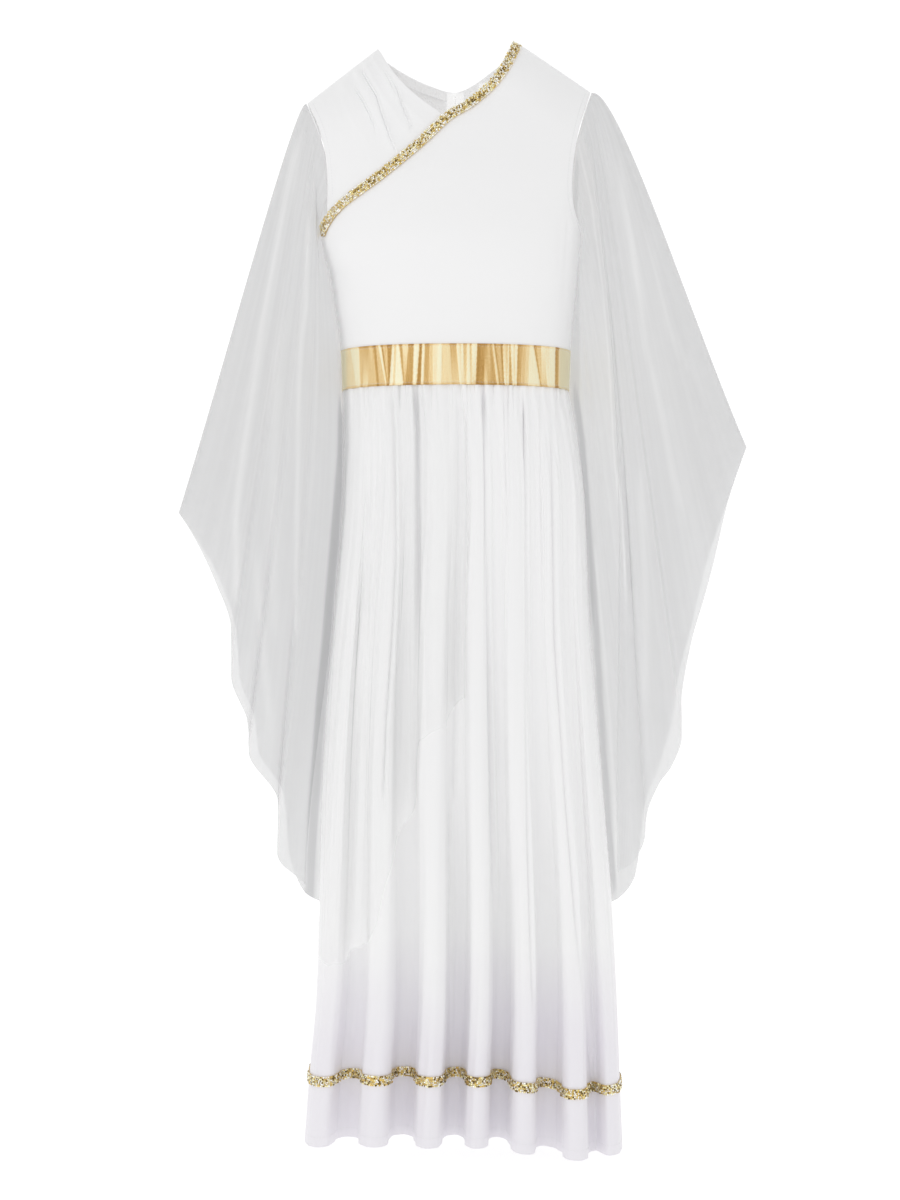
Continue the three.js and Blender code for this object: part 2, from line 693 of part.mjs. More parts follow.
function centreBackDepth(z) {
  if (z > WAIST_BOTTOM) return bodyDepth(CENTRE_BACK_X, z, 'back');
  const length = WAIST_BOTTOM - skirtMiddle(BACK_FOLDS, CENTRE_BACK_FOLD, 1, 'back').z;
  return skirtMiddle(BACK_FOLDS, CENTRE_BACK_FOLD, (WAIST_BOTTOM - z) / length, 'back').y;
}

// Zip tape inside the back, a half each side of the slit
function zipTape(hand) {
  const width = 11;
  const thickness = 0.8;
  const inside = 2.4;
  const belowNeck = 2.5;
  const facing = hand === 'left' ? -1 : 1;
  return wall(1, 14, thickness, (u, v) => {
    const z = mix(BACK_NECK_CENTRE.z - belowNeck, ZIP_END, v);
    const x = CENTRE_BACK_X + facing * mix(0.4, width, u);
    const settle = 2.5 * clamp((WAIST_TOP - z) / 60, 0, 1);
    const point = new THREE.Vector3(x, centreBackDepth(z) - inside - settle, z);
    return { point, normal: new THREE.Vector3(0, 1, 0) };
  });
}

// Blank label hanging inside the back neck
function neckLabel() {
  const label = { left: 36, right: 56, top: 8, bottom: -23, thickness: 0.6 };
  const inside = -3.8;
  return wall(4, 3, label.thickness, (u, v) => {
    return bodyPoint(mix(label.left, label.right, u), mix(label.top, label.bottom, v), 'back', inside);
  });
}

// A sleeve: one chiffon panel, from the armhole seam to the waving hem, folded over the arm
function sleeve(stations, hand, { frontEnd, clearance, tuck, bulge }) {
  const columns = ['x', 'y', 'z', 'sway'];
  const columnOf = Object.fromEntries(columns.map((name) => [name, curve(stations, 'seam', name)]));
  const outer = stations.reduce((best, row) => (Math.abs(row.x) > Math.abs(best.x) ? row : best)).seam;
  const outward = hand === 'left' ? -1 : 1;
  const middle = (seam, v) => {
    const onFront = seam < outer;
    const upward = onFront ? mix(frontEnd, 1, seam / outer) : mix(1, 0.12, (seam - outer) / (1 - outer));
    const top = armholes[hand](upward);
    const side = onFront ? 'front' : 'back';
    const facing = onFront ? -1 : 1;
    const startY = facing * bodyDepth(top.x, top.z, side);
    const start = new THREE.Vector3(top.x + outward * SLEEVE_SEAM_GAP, startY, top.z);
    const hem = new THREE.Vector3(columnOf.x(seam), columnOf.y(seam), columnOf.z(seam));
    const place = start.lerp(hem, v);
    place.x += columnOf.sway(seam) * v ** 1.2 * (1 - v) ** 1.8;
    place.x += outward * bulge * Math.exp(-(((seam - outer) / 0.15) ** 2)) * v ** 0.35 * (1 - v) ** 1.6;
    const besideBody = clamp(1.2 - seam / 0.3, 0, 1) * clamp(v / 0.04, 0, 1) * (1 - v);
    place.x += outward * clearance * besideBody;
    place.y += tuck * besideBody;
    const fromFold = clamp(Math.abs(seam - outer) / 0.12, 0, 1);
    const ripple = SLEEVE_RIPPLE * fromFold * Math.sin(2 * Math.PI * SLEEVE_RIPPLES * seam + 0.6);
    place.y += ripple * v * v * (1.6 - 0.6 * v);
    return place;
  };
  return wall(SLEEVE_COLUMNS, SLEEVE_ROWS, CHIFFON, (u, row) => {
    const v = row ** 1.6;
    const step = 0.003;
    const along = middle(Math.min(u + step, 1), v).sub(middle(Math.max(u - step, 0), v));
    const downward = middle(u, Math.min(v + step, 1)).sub(middle(u, Math.max(v - step, 0)));
    const normal = downward.cross(along).normalize();
    return { point: middle(u, v), normal };
  });
}

// Zip slider with its bail, and the pull tab that hangs from it

const SLIDER = { width: 5.5, depth: 2.2, height: 9, bar: 1.0, reach: 3.4, z: BACK_NECK_CENTRE.z - 9 };
const TAB = { width: 3.2, length: 15, thickness: 1.0, eye: 1.0, rim: 1.75 };
const sliderFace = bodyDepth(CENTRE_BACK_X, SLIDER.z, 'back') + SATIN / 2 + LAY_GAP + 0.3;
const pivotReach = SLIDER.depth + SLIDER.reach - SLIDER.bar / 2;
const pullPivot = { x: CENTRE_BACK_X, y: sliderFace + pivotReach, z: SLIDER.z };

async function slider() {
  const wasm = await Module();
  wasm.setup();
  const solid = (geometry) => {
    geometry.deleteAttribute('normal');
    geometry.deleteAttribute('uv');
    const merged = mergeVertices(geometry);
    const vertProperties = new Float32Array(merged.attributes.position.array);
    const triVerts = new Uint32Array(merged.index.array);
    return new wasm.Manifold(new wasm.Mesh({ numProp: 3, vertProperties, triVerts }));
  };
  const block = new THREE.BoxGeometry(SLIDER.width, SLIDER.depth, SLIDER.height);
  block.translate(pullPivot.x, sliderFace + SLIDER.depth / 2, SLIDER.z);
  let whole = solid(block);
  const overlap = 0.4;
  const legLength = SLIDER.reach + overlap;
  for (const side of [-1, 1]) {
    const leg = new THREE.BoxGeometry(SLIDER.bar, legLength, SLIDER.bar);
    const legX = pullPivot.x + side * (SLIDER.width / 2 - SLIDER.bar / 2);
    leg.translate(legX, sliderFace + SLIDER.depth - overlap + legLength / 2, SLIDER.z);
    whole = whole.add(solid(leg));
  }
  const bar = new THREE.BoxGeometry(SLIDER.width, SLIDER.bar, SLIDER.bar);
  bar.translate(pullPivot.x, pullPivot.y, pullPivot.z);
  const { vertProperties, triVerts } = whole.add(solid(bar)).getMesh();
  const geometry = new THREE.BufferGeometry();
  geometry.setAttribute('position', new THREE.Float32BufferAttribute(vertProperties, 3));
  geometry.setIndex(Array.from(triVerts));
  geometry.computeVertexNormals();
  return geometry;
}

// Profile in the plane across the pivot: an eye round the bar and a flat tongue below it
function pullTab() {
  const shape = new THREE.Shape();
  const half = TAB.thickness / 2;
  const start = Math.asin(half / TAB.rim);
  shape.moveTo(half, -TAB.length);
  shape.lineTo(half, -TAB.rim * Math.cos(start));
  shape.absarc(0, 0, TAB.rim, -Math.PI / 2 + start, 1.5 * Math.PI - start, false);
  shape.lineTo(-half, -TAB.length);
  shape.closePath();
  const eye = new THREE.Path();
  eye.absarc(0, 0, TAB.eye, 0, 2 * Math.PI, true);
  shape.holes.push(eye);
  const extrusion = { depth: TAB.width, bevelEnabled: false, curveSegments: 8 };
  const geometry = new THREE.ExtrudeGeometry(shape, extrusion);
  geometry.translate(0, 0, -TAB.width / 2);
  const upright = new THREE.Matrix4().makeBasis(
    new THREE.Vector3(0, 1, 0),
    new THREE.Vector3(0, 0, 1),
    new THREE.Vector3(1, 0, 0),
  );
  geometry.applyMatrix4(upright);
  geometry.translate(pullPivot.x, pullPivot.y, pullPivot.z);
  return geometry;
}

// Materials

const MATERIALS = {
  satin: { color: 0xf4f3f6, roughness: 0.6, metalness: 0 },
  chiffon: { color: 0xe2e2e4, roughness: 0.7, metalness: 0 },
  braid: { color: 0xcaa046, roughness: 0.35, metalness: 0.8 },
  foil: { color: 0xe2bd6c, roughness: 0.25, metalness: 0.9 },
  tape: { color: 0xeeeef0, roughness: 0.8, metalness: 0 },
  metal: { color: 0xd8d8da, roughness: 0.3, metalness: 1 },
};

const toga = new THREE.Group();

function add(name, geometry, look) {
  const mesh = new THREE.Mesh(geometry, new THREE.MeshStandardMaterial(MATERIALS[look]));
  mesh.name = name;
  toga.add(mesh);
}

const LAST_FRONT = FRONT_FOLDS.length - 1;
const LAST_BACK = BACK_FOLDS.length - 1;
const beltMiddle = (WAIST_TOP + WAIST_BOTTOM) / 2;
const beltHalf = (body.right(beltMiddle) - body.left(beltMiddle)) / 2;
const beltSplit = Math.asin((CENTRE_BACK_X - body.left(beltMiddle)) / beltHalf - 1);
const splitGap = SEAM_GAP / 2 / beltHalf;

add('bodice_front', bodiceFront(), 'satin');
add('shoulder_panel', shoulderPanel(), 'satin');
add('bodice_back_left', bodiceBack('left'), 'satin');
add('bodice_back_right', bodiceBack('right'), 'satin');
add('belt_front', belt('front', -BELT_QUARTER, BELT_QUARTER, 32), 'foil');
add('belt_back_left', belt('back', -BELT_QUARTER, beltSplit - splitGap, 16), 'foil');
add('belt_back_right', belt('back', beltSplit + splitGap, BELT_QUARTER, 16), 'foil');
add('skirt_front', skirtPanel(FRONT_FOLDS, 'front', 0, LAST_FRONT), 'satin');
add('skirt_back_left', skirtPanel(BACK_FOLDS, 'back', 0, CENTRE_BACK_FOLD), 'satin');
add('skirt_back_right', skirtPanel(BACK_FOLDS, 'back', CENTRE_BACK_FOLD, LAST_BACK), 'satin');
add('overlay_drape', overlay(), 'chiffon');
add('slant_braid', slantBraid(), 'braid');
add('hem_braid_front', hemBraid(FRONT_FOLDS, 'front', 0, LAST_FRONT), 'braid');
add('hem_braid_back', hemBraid(BACK_FOLDS, 'back', 0, LAST_BACK), 'braid');
add('sleeve_left', sleeve(LEFT_SLEEVE, 'left', LEFT_HANG), 'chiffon');
add('sleeve_right', sleeve(RIGHT_SLEEVE, 'right', RIGHT_HANG), 'chiffon');
add('neck_facing_left', neckFacing('left'), 'satin');
add('neck_facing_right', neckFacing('right'), 'satin');
add('zip_tape_left', zipTape('left'), 'tape');
add('zip_tape_right', zipTape('right'), 'tape');
add('neck_label', neckLabel(), 'tape');
add('zip_slider', await slider(), 'metal');
add('pull_tab', pullTab(), 'metal');

export default toga;
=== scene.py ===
import math

import bpy
import numpy as np
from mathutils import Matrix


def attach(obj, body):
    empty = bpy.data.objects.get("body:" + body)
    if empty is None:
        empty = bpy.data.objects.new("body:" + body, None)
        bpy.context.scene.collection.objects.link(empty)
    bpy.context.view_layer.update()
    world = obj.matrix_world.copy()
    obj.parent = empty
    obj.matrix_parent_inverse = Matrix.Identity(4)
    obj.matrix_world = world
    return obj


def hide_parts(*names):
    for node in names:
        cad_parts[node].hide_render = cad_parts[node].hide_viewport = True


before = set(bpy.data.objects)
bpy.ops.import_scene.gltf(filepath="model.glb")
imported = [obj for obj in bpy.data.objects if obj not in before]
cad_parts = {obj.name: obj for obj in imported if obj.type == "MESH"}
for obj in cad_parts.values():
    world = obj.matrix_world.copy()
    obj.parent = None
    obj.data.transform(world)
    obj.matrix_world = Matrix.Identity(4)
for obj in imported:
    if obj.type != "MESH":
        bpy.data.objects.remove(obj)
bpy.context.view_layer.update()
rng = np.random.default_rng(7)
scene = bpy.context.scene
scene.view_settings.view_transform = "Standard"

MM = 0.001

# Camera, level with the middle of the skirt; picture places are pixels of the 900 x 1200 photograph

CAMERA_DISTANCE = 3000
CAMERA_HEIGHT = -656
PICTURE_CENTRE = (450, 600)
FOCAL_PIXELS = 2400

camera_data = bpy.data.cameras.new("camera")
camera_data.lens = 72
camera_data.sensor_fit = "VERTICAL"
camera_data.sensor_height = 36
camera = bpy.data.objects.new("camera", camera_data)
camera.location = (0, -CAMERA_DISTANCE * MM, CAMERA_HEIGHT * MM)
camera.rotation_euler = (math.radians(90), 0, 0)
scene.collection.objects.link(camera)
scene.camera = camera


def photo_x(px, depth=-100.0):
    """Millimetres across, for a place in the picture at that depth."""
    return (np.asarray(px, float) - PICTURE_CENTRE[0]) * (CAMERA_DISTANCE + depth) / FOCAL_PIXELS


def photo_z(py, depth=-100.0):
    """Height in millimetres, for a place in the picture at that depth."""
    up = PICTURE_CENTRE[1] - np.asarray(py, float)
    return CAMERA_HEIGHT + up * (CAMERA_DISTANCE + depth) / FOCAL_PIXELS


# Sizes of the dress in millimetres, as in the part's source

SATIN = 1.5
CHIFFON = 1.2
BRAID = 1.0
SHEER = 0.5
BRAID_WIDTH = 12
SEAM_GAP = 0.3
LAY_GAP = 0.5
WAIST_TOP = -346
WAIST_BOTTOM = -395.5
NECK_HALF_WIDTH = 87.5
SHOULDER_ROUNDING = 85
NECK_DOME = 35
BODY_SQUARENESS = 2.2
HEM_SQUARENESS = 3.0
HEM_BRAID_HEIGHT = 80
ZIP_END = -560

BODY = dict(
    z=[-396, -346, -294, -250, -210, -150, -90, -30, 45],
    left=[-133, -135, -142.5, -149, -161.5, -168, -180, -192, -196],
    right=[147, 149, 153.5, 158, 162.5, 170, 180, 190, 194],
    front=[99, 100, 105, 112, 116, 111, 98, 84, 76],
    back=[94, 94, 97, 101, 105, 107, 103, 96, 90],
)
SKIRT = dict(
    z=[-1330, -1239, -1148, -1026, -903, -780, -656, -531, -456, -396],
    left=[-182.5, -175.5, -167, -162.5, -159, -152.5, -142.5, -133, -131, -133],
    right=[215.6, 211.7, 208, 201, 191, 181, 172, 167, 158, 147],
    front=[118, 117, 116, 114, 112, 109, 106, 103, 101, 99],
    back=[120, 119, 118, 115, 112, 108, 104, 100, 97, 94],
)
HEM = dict(x=[-190, -92, 31, 87, 155, 220], z=[-1327, -1315, -1315, -1322, -1333, -1334])
FRONT_FOLDS = np.array([
    (-133, -182.5, 2), (-117, -166, 0), (-94, -131, 60), (-75, -92, 0), (-52, -60, 76),
    (-24, -26, 0), (6, 4.5, 76), (25, 31.5, 0), (45, 60, 74), (66, 87, 0), (89, 120, 66),
    (106, 155, 0), (124, 182, 42), (137, 203, 0), (147, 215.6, 2),
])
BACK_FOLDS = np.array([
    (-133, -182.5, 2), (-120, -168, 0), (-98, -136, 52), (-76, -99, 0), (-54, -66, 70),
    (-28, -29, 0), (6, 9, 62), (32, 44, 0), (54, 80, 72), (78, 117, 0), (103, 153, 50),
    (129, 192, 0), (147, 215.6, 2),
])
CENTRE_BACK_FOLD = 6
GATHERS_PER_FOLD = 3
GATHER_DEPTH = 2.2
GATHER_FADE = 0.2
FOLD_STEEPNESS = 0.85
OVERLAY_EDGE = dict(
    fold=[0, 1.2, 1.7, 2.1, 2.7, 2.9, 3.0, 3.2, 3.4, 4.0, 4.45, 4.55, 4.7, 5.0, 5.6, 5.85, 6.0, 6.5],
    z=[-1099, -1100, -1091, -1079, -1068, -1049, -1018, -977, -958, -927, -888, -850, -828, -816, -803,
       -791, -779, -774],
)
OVERLAY_FOLDS = 6.5

LEFT_TIP, RIGHT_TIP = (-177.5, -36.2), (175, -22.5)
LEFT_NECK, RIGHT_NECK = (-90, 30), (85, 37.5)
LEFT_UNDERARM, RIGHT_UNDERARM = -212, -202
LEFT_ARMHOLE = [(-153, -193), (-149, -165), (-149.5, -137), (-153, -105), (-161.5, -73), (-177.5, -36.2)]
RIGHT_ARMHOLE = [(153.5, -181), (149, -157), (150, -127), (155.5, -89), (164, -55), (175, -22.5)]
SLANT = [
    (-151, -193.5), (-134.5, -176.5), (-85, -143.5), (-36.5, -104), (0, -69), (24.5, -53.5),
    (49, -31), (66, -8), (76, 14), (85, 37.5),
]
SLANT_ARMHOLE_PLACE = 0.07
SLANT_NECK_PLACE = 0.59
FRONT_NECK = [
    (-3.5, -72), (-23, -57.8), (-40.2, -43.9), (-57.5, -27.2), (-70.8, -9.4), (-80.5, 8.6), (-90, 30),
]
BACK_NECK = [(-90, 30), (-66.4, 20.4), (-30, 6.6), (7, -2.4), (30, 6.2), (56, 21.6), (85, 37.5)]
NECK_FOOT = BACK_NECK[3][1]
CENTRE_BACK_X = 7.0
PICTURE_DEPTH = {"front": -100.0, "back": 100.0}
SHOULDER_PLEATS = [  # share of the seam and of the slant, depth, width
    (0.46, 0.40, 1.6, 0.05), (0.66, 0.60, 2.2, 0.05), (0.79, 0.74, 2.4, 0.05), (0.91, 0.87, 2.0, 0.045),
]
SLEEVES = {  # seam place, hem point, sideways sway
    "left": np.array([
        (0, -179, -36, -1008, 290), (0.08, -213, -35, -968, 150), (0.15, -213, -32, -905, 75),
        (0.22, -249, -28, -846, 30), (0.28, -251, -25, -806, 12), (0.34, -272, -21, -748, 0),
        (0.39, -272, -18, -690, 0), (0.43, -293, -14, -630, 0), (0.47, -324, -8, -569, 0),
        (0.5, -339, 0, -547, 0), (0.53, -322, 9, -572, 0), (0.58, -289, 18, -632, 0),
        (0.63, -268, 24, -700, 0), (0.69, -266, 29, -752, 0), (0.75, -246, 33, -806, 0),
        (0.81, -243, 38, -846, 12), (0.87, -209, 45, -908, 30), (0.92, -207, 58, -968, 70),
        (0.96, -186, 78, -1030, 150), (1, -156, 104, -1050, 230),
    ]),
    "right": np.array([
        (0, 207.5, -36, -993, 155), (0.06, 224, -35, -981, 120), (0.11, 241, -32, -950, 85),
        (0.15, 244, -30, -920, 60), (0.2, 258, -28, -884, 45), (0.24, 275, -26, -862, 30),
        (0.28, 287, -24, -825, 20), (0.32, 287, -21, -785, 10), (0.36, 301, -18, -705, 0),
        (0.39, 315, -15, -656, 0), (0.42, 329, -12, -605, 0), (0.45, 347, -7, -532, 0),
        (0.48, 370.5, 0, -465, 0), (0.52, 350, 8, -525, 0), (0.57, 324, 16, -605, 0),
        (0.63, 304, 22, -685, 0), (0.68, 288, 27, -755, 0), (0.74, 280, 31, -805, 0),
        (0.8, 266, 36, -862, 0), (0.86, 246, 42, -915, -15), (0.92, 236, 52, -1005, -40),
        (0.96, 212, 78, -1040, -90), (1, 186, 110, -1052, -125),
    ]),
}
SLEEVE_SEAM_GAP = 1.9
SLEEVE_RIPPLE = 5
SLEEVE_RIPPLES = 9
HANG = {  # front end of the seam, clearance, tuck, bulge
    "left": (0.3, 16, 12, 18),
    "right": (0.7, 8, 0, 42),
}


# Curves

def mix(a, b, t):
    return a + (b - a) * t


def curve(xs, ys):
    """A monotone cubic curve through rows, as in the part's source."""
    xs, ys = np.asarray(xs, float), np.asarray(ys, float)
    slopes = np.diff(ys) / np.diff(xs)
    before = np.concatenate([slopes[:1], slopes])
    after = np.concatenate([slopes, slopes[-1:]])
    same = before * after > 0
    total = np.where(same, before + after, 1)
    tangents = np.where(same, 2 * before * after / total, 0)

    def at(value):
        x = np.clip(value, xs[0], xs[-1])
        i = np.clip(np.searchsorted(xs, x, side="left") - 1, 0, len(xs) - 2)
        span = xs[i + 1] - xs[i]
        t = (x - xs[i]) / span
        rise = ys[i + 1] - ys[i]
        bend = tangents[i] * span
        straighten = tangents[i + 1] * span
        cubic = bend + straighten - 2 * rise
        return ys[i] + t * (bend + t * (3 * rise - 2 * bend - straighten + t * cubic))

    return at


def lengths_along(points):
    return np.concatenate([[0], np.cumsum(np.linalg.norm(np.diff(points, axis=0), axis=1))])


def path(points):
    """A centripetal curve through front-view points, by arc length from 0 to 1."""
    p = np.asarray(points, float)
    p = np.vstack([2 * p[0] - p[1], p, 2 * p[-1] - p[-2]])
    dense = []
    t = np.linspace(0, 1, 80, endpoint=False)[:, None]
    for a, b, c, d in zip(p[:-3], p[1:-2], p[2:-1], p[3:]):
        d0, d1, d2 = (max(np.linalg.norm(q), 1e-8) ** 0.5 for q in (b - a, c - b, d - c))
        t1 = ((b - a) / d0 - (c - a) / (d0 + d1) + (c - b) / d1) * d1
        t2 = ((c - b) / d1 - (d - b) / (d1 + d2) + (d - c) / d2) * d1
        dense.append(b + t1 * t + (-3 * b + 3 * c - 2 * t1 - t2) * t**2 + (2 * b - 2 * c + t1 + t2) * t**3)
    dense = np.vstack([*dense, p[-2:-1]])
    along = lengths_along(dense)
    along /= along[-1]

    def at(value):
        value = np.clip(value, 0, 1)
        return np.stack([np.interp(value, along, dense[:, k]) for k in range(2)], axis=-1)

    return at


def straight(start, end):
    start, end = np.asarray(start, float), np.asarray(end, float)
    return lambda t: start + (end - start) * np.asarray(t)[..., None]


def joined(first, second, share):
    """Two lines as one; the first takes that share of 0 to 1."""

    def at(t):
        t = np.asarray(t, float)
        early, late = first(np.clip(t / share, 0, 1)), second(np.clip((t - share) / (1 - share), 0, 1))
        return np.where((t < share)[..., None], early, late)

    return at


def patch(bottom, top, left, right, u, v):
    """Front-view places inside four edges; u across, v upward, both one-dimensional."""
    uu, vv = u[None, :, None], v[:, None, None]
    across = bottom(u)[None] * (1 - vv) + top(u)[None] * vv
    upward = left(v)[:, None] * (1 - uu) + right(v)[:, None] * uu
    zero, one = np.array(0.0), np.array(1.0)
    corners = bottom(zero) * (1 - uu) * (1 - vv) + bottom(one) * uu * (1 - vv)
    corners = corners + top(zero) * (1 - uu) * vv + top(one) * uu * vv
    return across + upward - corners


def smooth(t):
    t = np.clip(t, 0, 1)
    return t * t * (3 - 2 * t)


# The body's surface

body = {k: curve(BODY["z"], BODY[k]) for k in ("left", "right", "front", "back")}
skirt = {k: curve(SKIRT["z"], SKIRT[k]) for k in ("left", "right", "front", "back")}
hem_height = curve(HEM["x"], HEM["z"])
overlay_edge = curve(OVERLAY_EDGE["fold"], OVERLAY_EDGE["z"])


def shoulder_line(x):
    """The height at which front and back meet: two straight shoulders and a dome over the open neck."""
    left_slope = (LEFT_NECK[1] - LEFT_TIP[1]) / (LEFT_NECK[0] - LEFT_TIP[0])
    right_slope = (RIGHT_NECK[1] - RIGHT_TIP[1]) / (RIGHT_NECK[0] - RIGHT_TIP[0])
    across = (x - (LEFT_NECK[0] + RIGHT_NECK[0]) / 2) / NECK_HALF_WIDTH
    base = mix(LEFT_NECK[1], RIGHT_NECK[1], (x - LEFT_NECK[0]) / (RIGHT_NECK[0] - LEFT_NECK[0]))
    middle = base + NECK_DOME * np.maximum(0, 1 - across**2)
    line = np.where(x < LEFT_NECK[0], LEFT_NECK[1] + left_slope * (x - LEFT_NECK[0]), middle)
    return np.where(x > RIGHT_NECK[0], RIGHT_NECK[1] + right_slope * (x - RIGHT_NECK[0]), line)


def body_depth(x, z, side):
    """Distance from the middle plane to the front or the back."""
    left, right = body["left"](z), body["right"](z)
    across = np.clip((2 * x - left - right) / (right - left), -1, 1)
    around = (1 - np.abs(across) ** BODY_SQUARENESS) ** (1 / BODY_SQUARENESS)
    below = np.clip((shoulder_line(x) - z) / SHOULDER_ROUNDING, 0, 1)
    return body[side](z) * around * np.sqrt(1 - (1 - below) ** 2)


def body_point(x, z, side, out=0.0):
    """Points and normals on the body's surface, moved out along the normals."""
    x, z = np.broadcast_arrays(np.asarray(x, float), np.asarray(z, float))
    facing = -1 if side == "front" else 1
    step = 0.02
    depth = body_depth(x, z, side)
    slope_x = (body_depth(x + step, z, side) - body_depth(x - step, z, side)) / (2 * step)
    slope_z = (body_depth(x, z + step, side) - body_depth(x, z - step, side)) / (2 * step)
    normal = np.stack([-slope_x, np.full_like(x, facing), -slope_z], axis=-1)
    point = np.stack([x, facing * np.maximum(depth, SEAM_GAP / 2), z], axis=-1)
    on_left, on_right = x < body["left"](z) + step, x > body["right"](z) - step
    for where, edge, sign in ((on_left, body["left"], -1), (on_right, body["right"], 1)):
        slope = (edge(z + 1) - edge(z - 1)) / 2
        side_normal = np.stack([np.full_like(x, sign), np.zeros_like(x), -sign * slope], axis=-1)
        side_point = np.stack([edge(z), np.full_like(x, facing * SEAM_GAP / 2), z], axis=-1)
        normal = np.where(where[..., None], side_normal, normal)
        point = np.where(where[..., None], side_point, point)
    normal = normal / np.linalg.norm(normal, axis=-1, keepdims=True)
    return point + normal * np.asarray(out)[..., None], normal


# The skirt's surface

def share_across(folds, row, drop):
    """A fold row's share of the width, from the left end to the right."""
    first, last = folds[0], folds[-1]
    at_waist = (row[..., 0] - first[0]) / (last[0] - first[0])
    at_hem = (row[..., 1] - first[1]) / (last[1] - first[1])
    return mix(at_waist, at_hem, drop)


def skirt_middle(folds, fold, drop, side):
    """The skirt's middle surface: fold counts along the folds, drop is 0 at the waist and 1 at the hem."""
    fold, drop = np.broadcast_arrays(np.asarray(fold, float), np.asarray(drop, float))
    start = np.clip(np.floor(fold).astype(int), 0, len(folds) - 2)
    turn = fold - start
    a, b = folds[start], folds[start + 1]
    steep = np.clip(3 * drop, 0, 1) * FOLD_STEEPNESS
    eased = turn + steep * np.sin(2 * math.pi * turn) / (2 * math.pi)
    hem_x = mix(a[..., 1], b[..., 1], eased)
    z = mix(WAIST_BOTTOM - SEAM_GAP / 2, hem_height(hem_x), drop)
    squareness = mix(BODY_SQUARENESS, HEM_SQUARENESS, np.clip(1.4 * drop, 0, 1))
    left, right = skirt["left"](z), skirt["right"](z)
    half, centre = (right - left) / 2, (right + left) / 2
    share = mix(share_across(folds, a, drop), share_across(folds, b, drop), eased)
    across = np.clip(2 * share - 1, -1, 1)
    around = (1 - np.abs(across) ** squareness) ** (1 / squareness)
    depth = skirt[side](z)
    facing = -1 if side == "front" else 1
    base = np.stack([centre + half * across, facing * np.maximum(depth * around, SEAM_GAP / 2), z], axis=-1)
    out_x = np.sign(across) * np.abs(across) ** (squareness - 1) / half
    out_y = around ** (squareness - 1) / depth
    sideways = np.abs(across) ** 8
    length = np.hypot(out_x, out_y)
    out_x, out_y = out_x / length * sideways, facing * out_y / length * sideways + facing * (1 - sideways)
    length = np.hypot(out_x, out_y)
    out = np.stack([out_x / length, out_y / length, np.zeros_like(out_x)], axis=-1)
    wave = 0.5 - 0.5 * np.cos(math.pi * turn)
    hem_depth = mix(a[..., 2], b[..., 2], wave)
    deepening = 0.55 * drop + 0.45 * drop * drop
    gathering = GATHER_DEPTH * np.maximum(0, 1 - drop / GATHER_FADE) ** 2
    gather = gathering * (0.5 - 0.5 * np.cos(math.pi * GATHERS_PER_FOLD * turn + math.pi * start))
    return base + out * (-hem_depth * deepening - gather)[..., None]


def skirt_point(folds, fold, drop, side):
    """Points and normals on the skirt's folds."""
    fold, drop = np.broadcast_arrays(np.asarray(fold, float), np.asarray(drop, float))
    step, last = 0.004, len(folds) - 1
    point = skirt_middle(folds, fold, drop, side)
    around = skirt_middle(folds, np.minimum(fold + step, last), drop, side)
    around = around - skirt_middle(folds, np.maximum(fold - step, 0), drop, side)
    down = skirt_middle(folds, fold, np.minimum(drop + step, 1), side)
    down = down - skirt_middle(folds, fold, np.maximum(drop - step, 0), side)
    normal = np.cross(down, around) if side == "front" else np.cross(around, down)
    normal /= np.maximum(np.linalg.norm(normal, axis=-1, keepdims=True), 1e-9)
    normal = np.where((fold <= 0)[..., None], [-1.0, 0, 0], normal)
    return point, np.where((fold >= last)[..., None], [1.0, 0, 0], normal)


CREASE_FADE = 45


def crease_height(x, z, creases, depth_at=-100.0):
    """Creases are rows of picture places from top to bottom, width and depth in millimetres and lean: a soft
    trough with a lower ridge on the side that it leans to. A negative depth stands proud."""
    height = np.zeros_like(x)
    for points, width, deep, lean in creases:
        py = np.array([p[1] for p in points], float)
        px = np.array([p[0] for p in points], float)
        zs, xs = photo_z(py, depth_at)[::-1], photo_x(px, depth_at)[::-1]
        at = np.interp(z, zs, xs)
        inside = smooth((z - zs[0]) / CREASE_FADE + 0.5) * smooth((zs[-1] - z) / CREASE_FADE + 0.5)
        d = (x - at) / width
        trough = -np.exp(-d * d)
        ridge = np.exp(-((d - 1.9 * np.sign(lean)) ** 2)) * abs(lean)
        height += deep * inside * (trough + ridge)
    return height


def noise(shape, cells, seed):
    """Smooth seeded noise over a grid, about -1 to 1; cells are the coarsest cells down and across."""
    random = np.random.default_rng(seed)
    total = np.zeros(shape)
    scale = 1.0
    for octave in range(3):
        rows, cols = max(2, int(cells[0] * 2**octave)), max(2, int(cells[1] * 2**octave))
        lattice = random.uniform(-1, 1, (rows + 3, cols + 3))
        y = np.linspace(0, rows, shape[0])
        x = np.linspace(0, cols, shape[1])
        iy, ix = np.floor(y).astype(int), np.floor(x).astype(int)
        fy, fx = smooth(y - iy)[:, None], smooth(x - ix)[None, :]
        a = lattice[iy][:, ix] * (1 - fy) + lattice[iy + 1][:, ix] * fy
        b = lattice[iy][:, ix + 1] * (1 - fy) + lattice[iy + 1][:, ix + 1] * fy
        total += scale * (a * (1 - fx) + b * fx)
        scale *= 0.5
    return total / 1.75


# Meshes

def unit(v):
    return v / np.maximum(np.linalg.norm(v, axis=-1, keepdims=True), 1e-12)


def grid_normals(points):
    normal = np.cross(np.gradient(points, axis=1), np.gradient(points, axis=0))
    return unit(normal)


def lengths(points, axis):
    steps = np.linalg.norm(np.diff(points, axis=axis), axis=-1)
    pad = [(0, 0), (0, 0)]
    pad[axis] = (1, 0)
    return np.pad(np.cumsum(steps, axis=axis), pad)


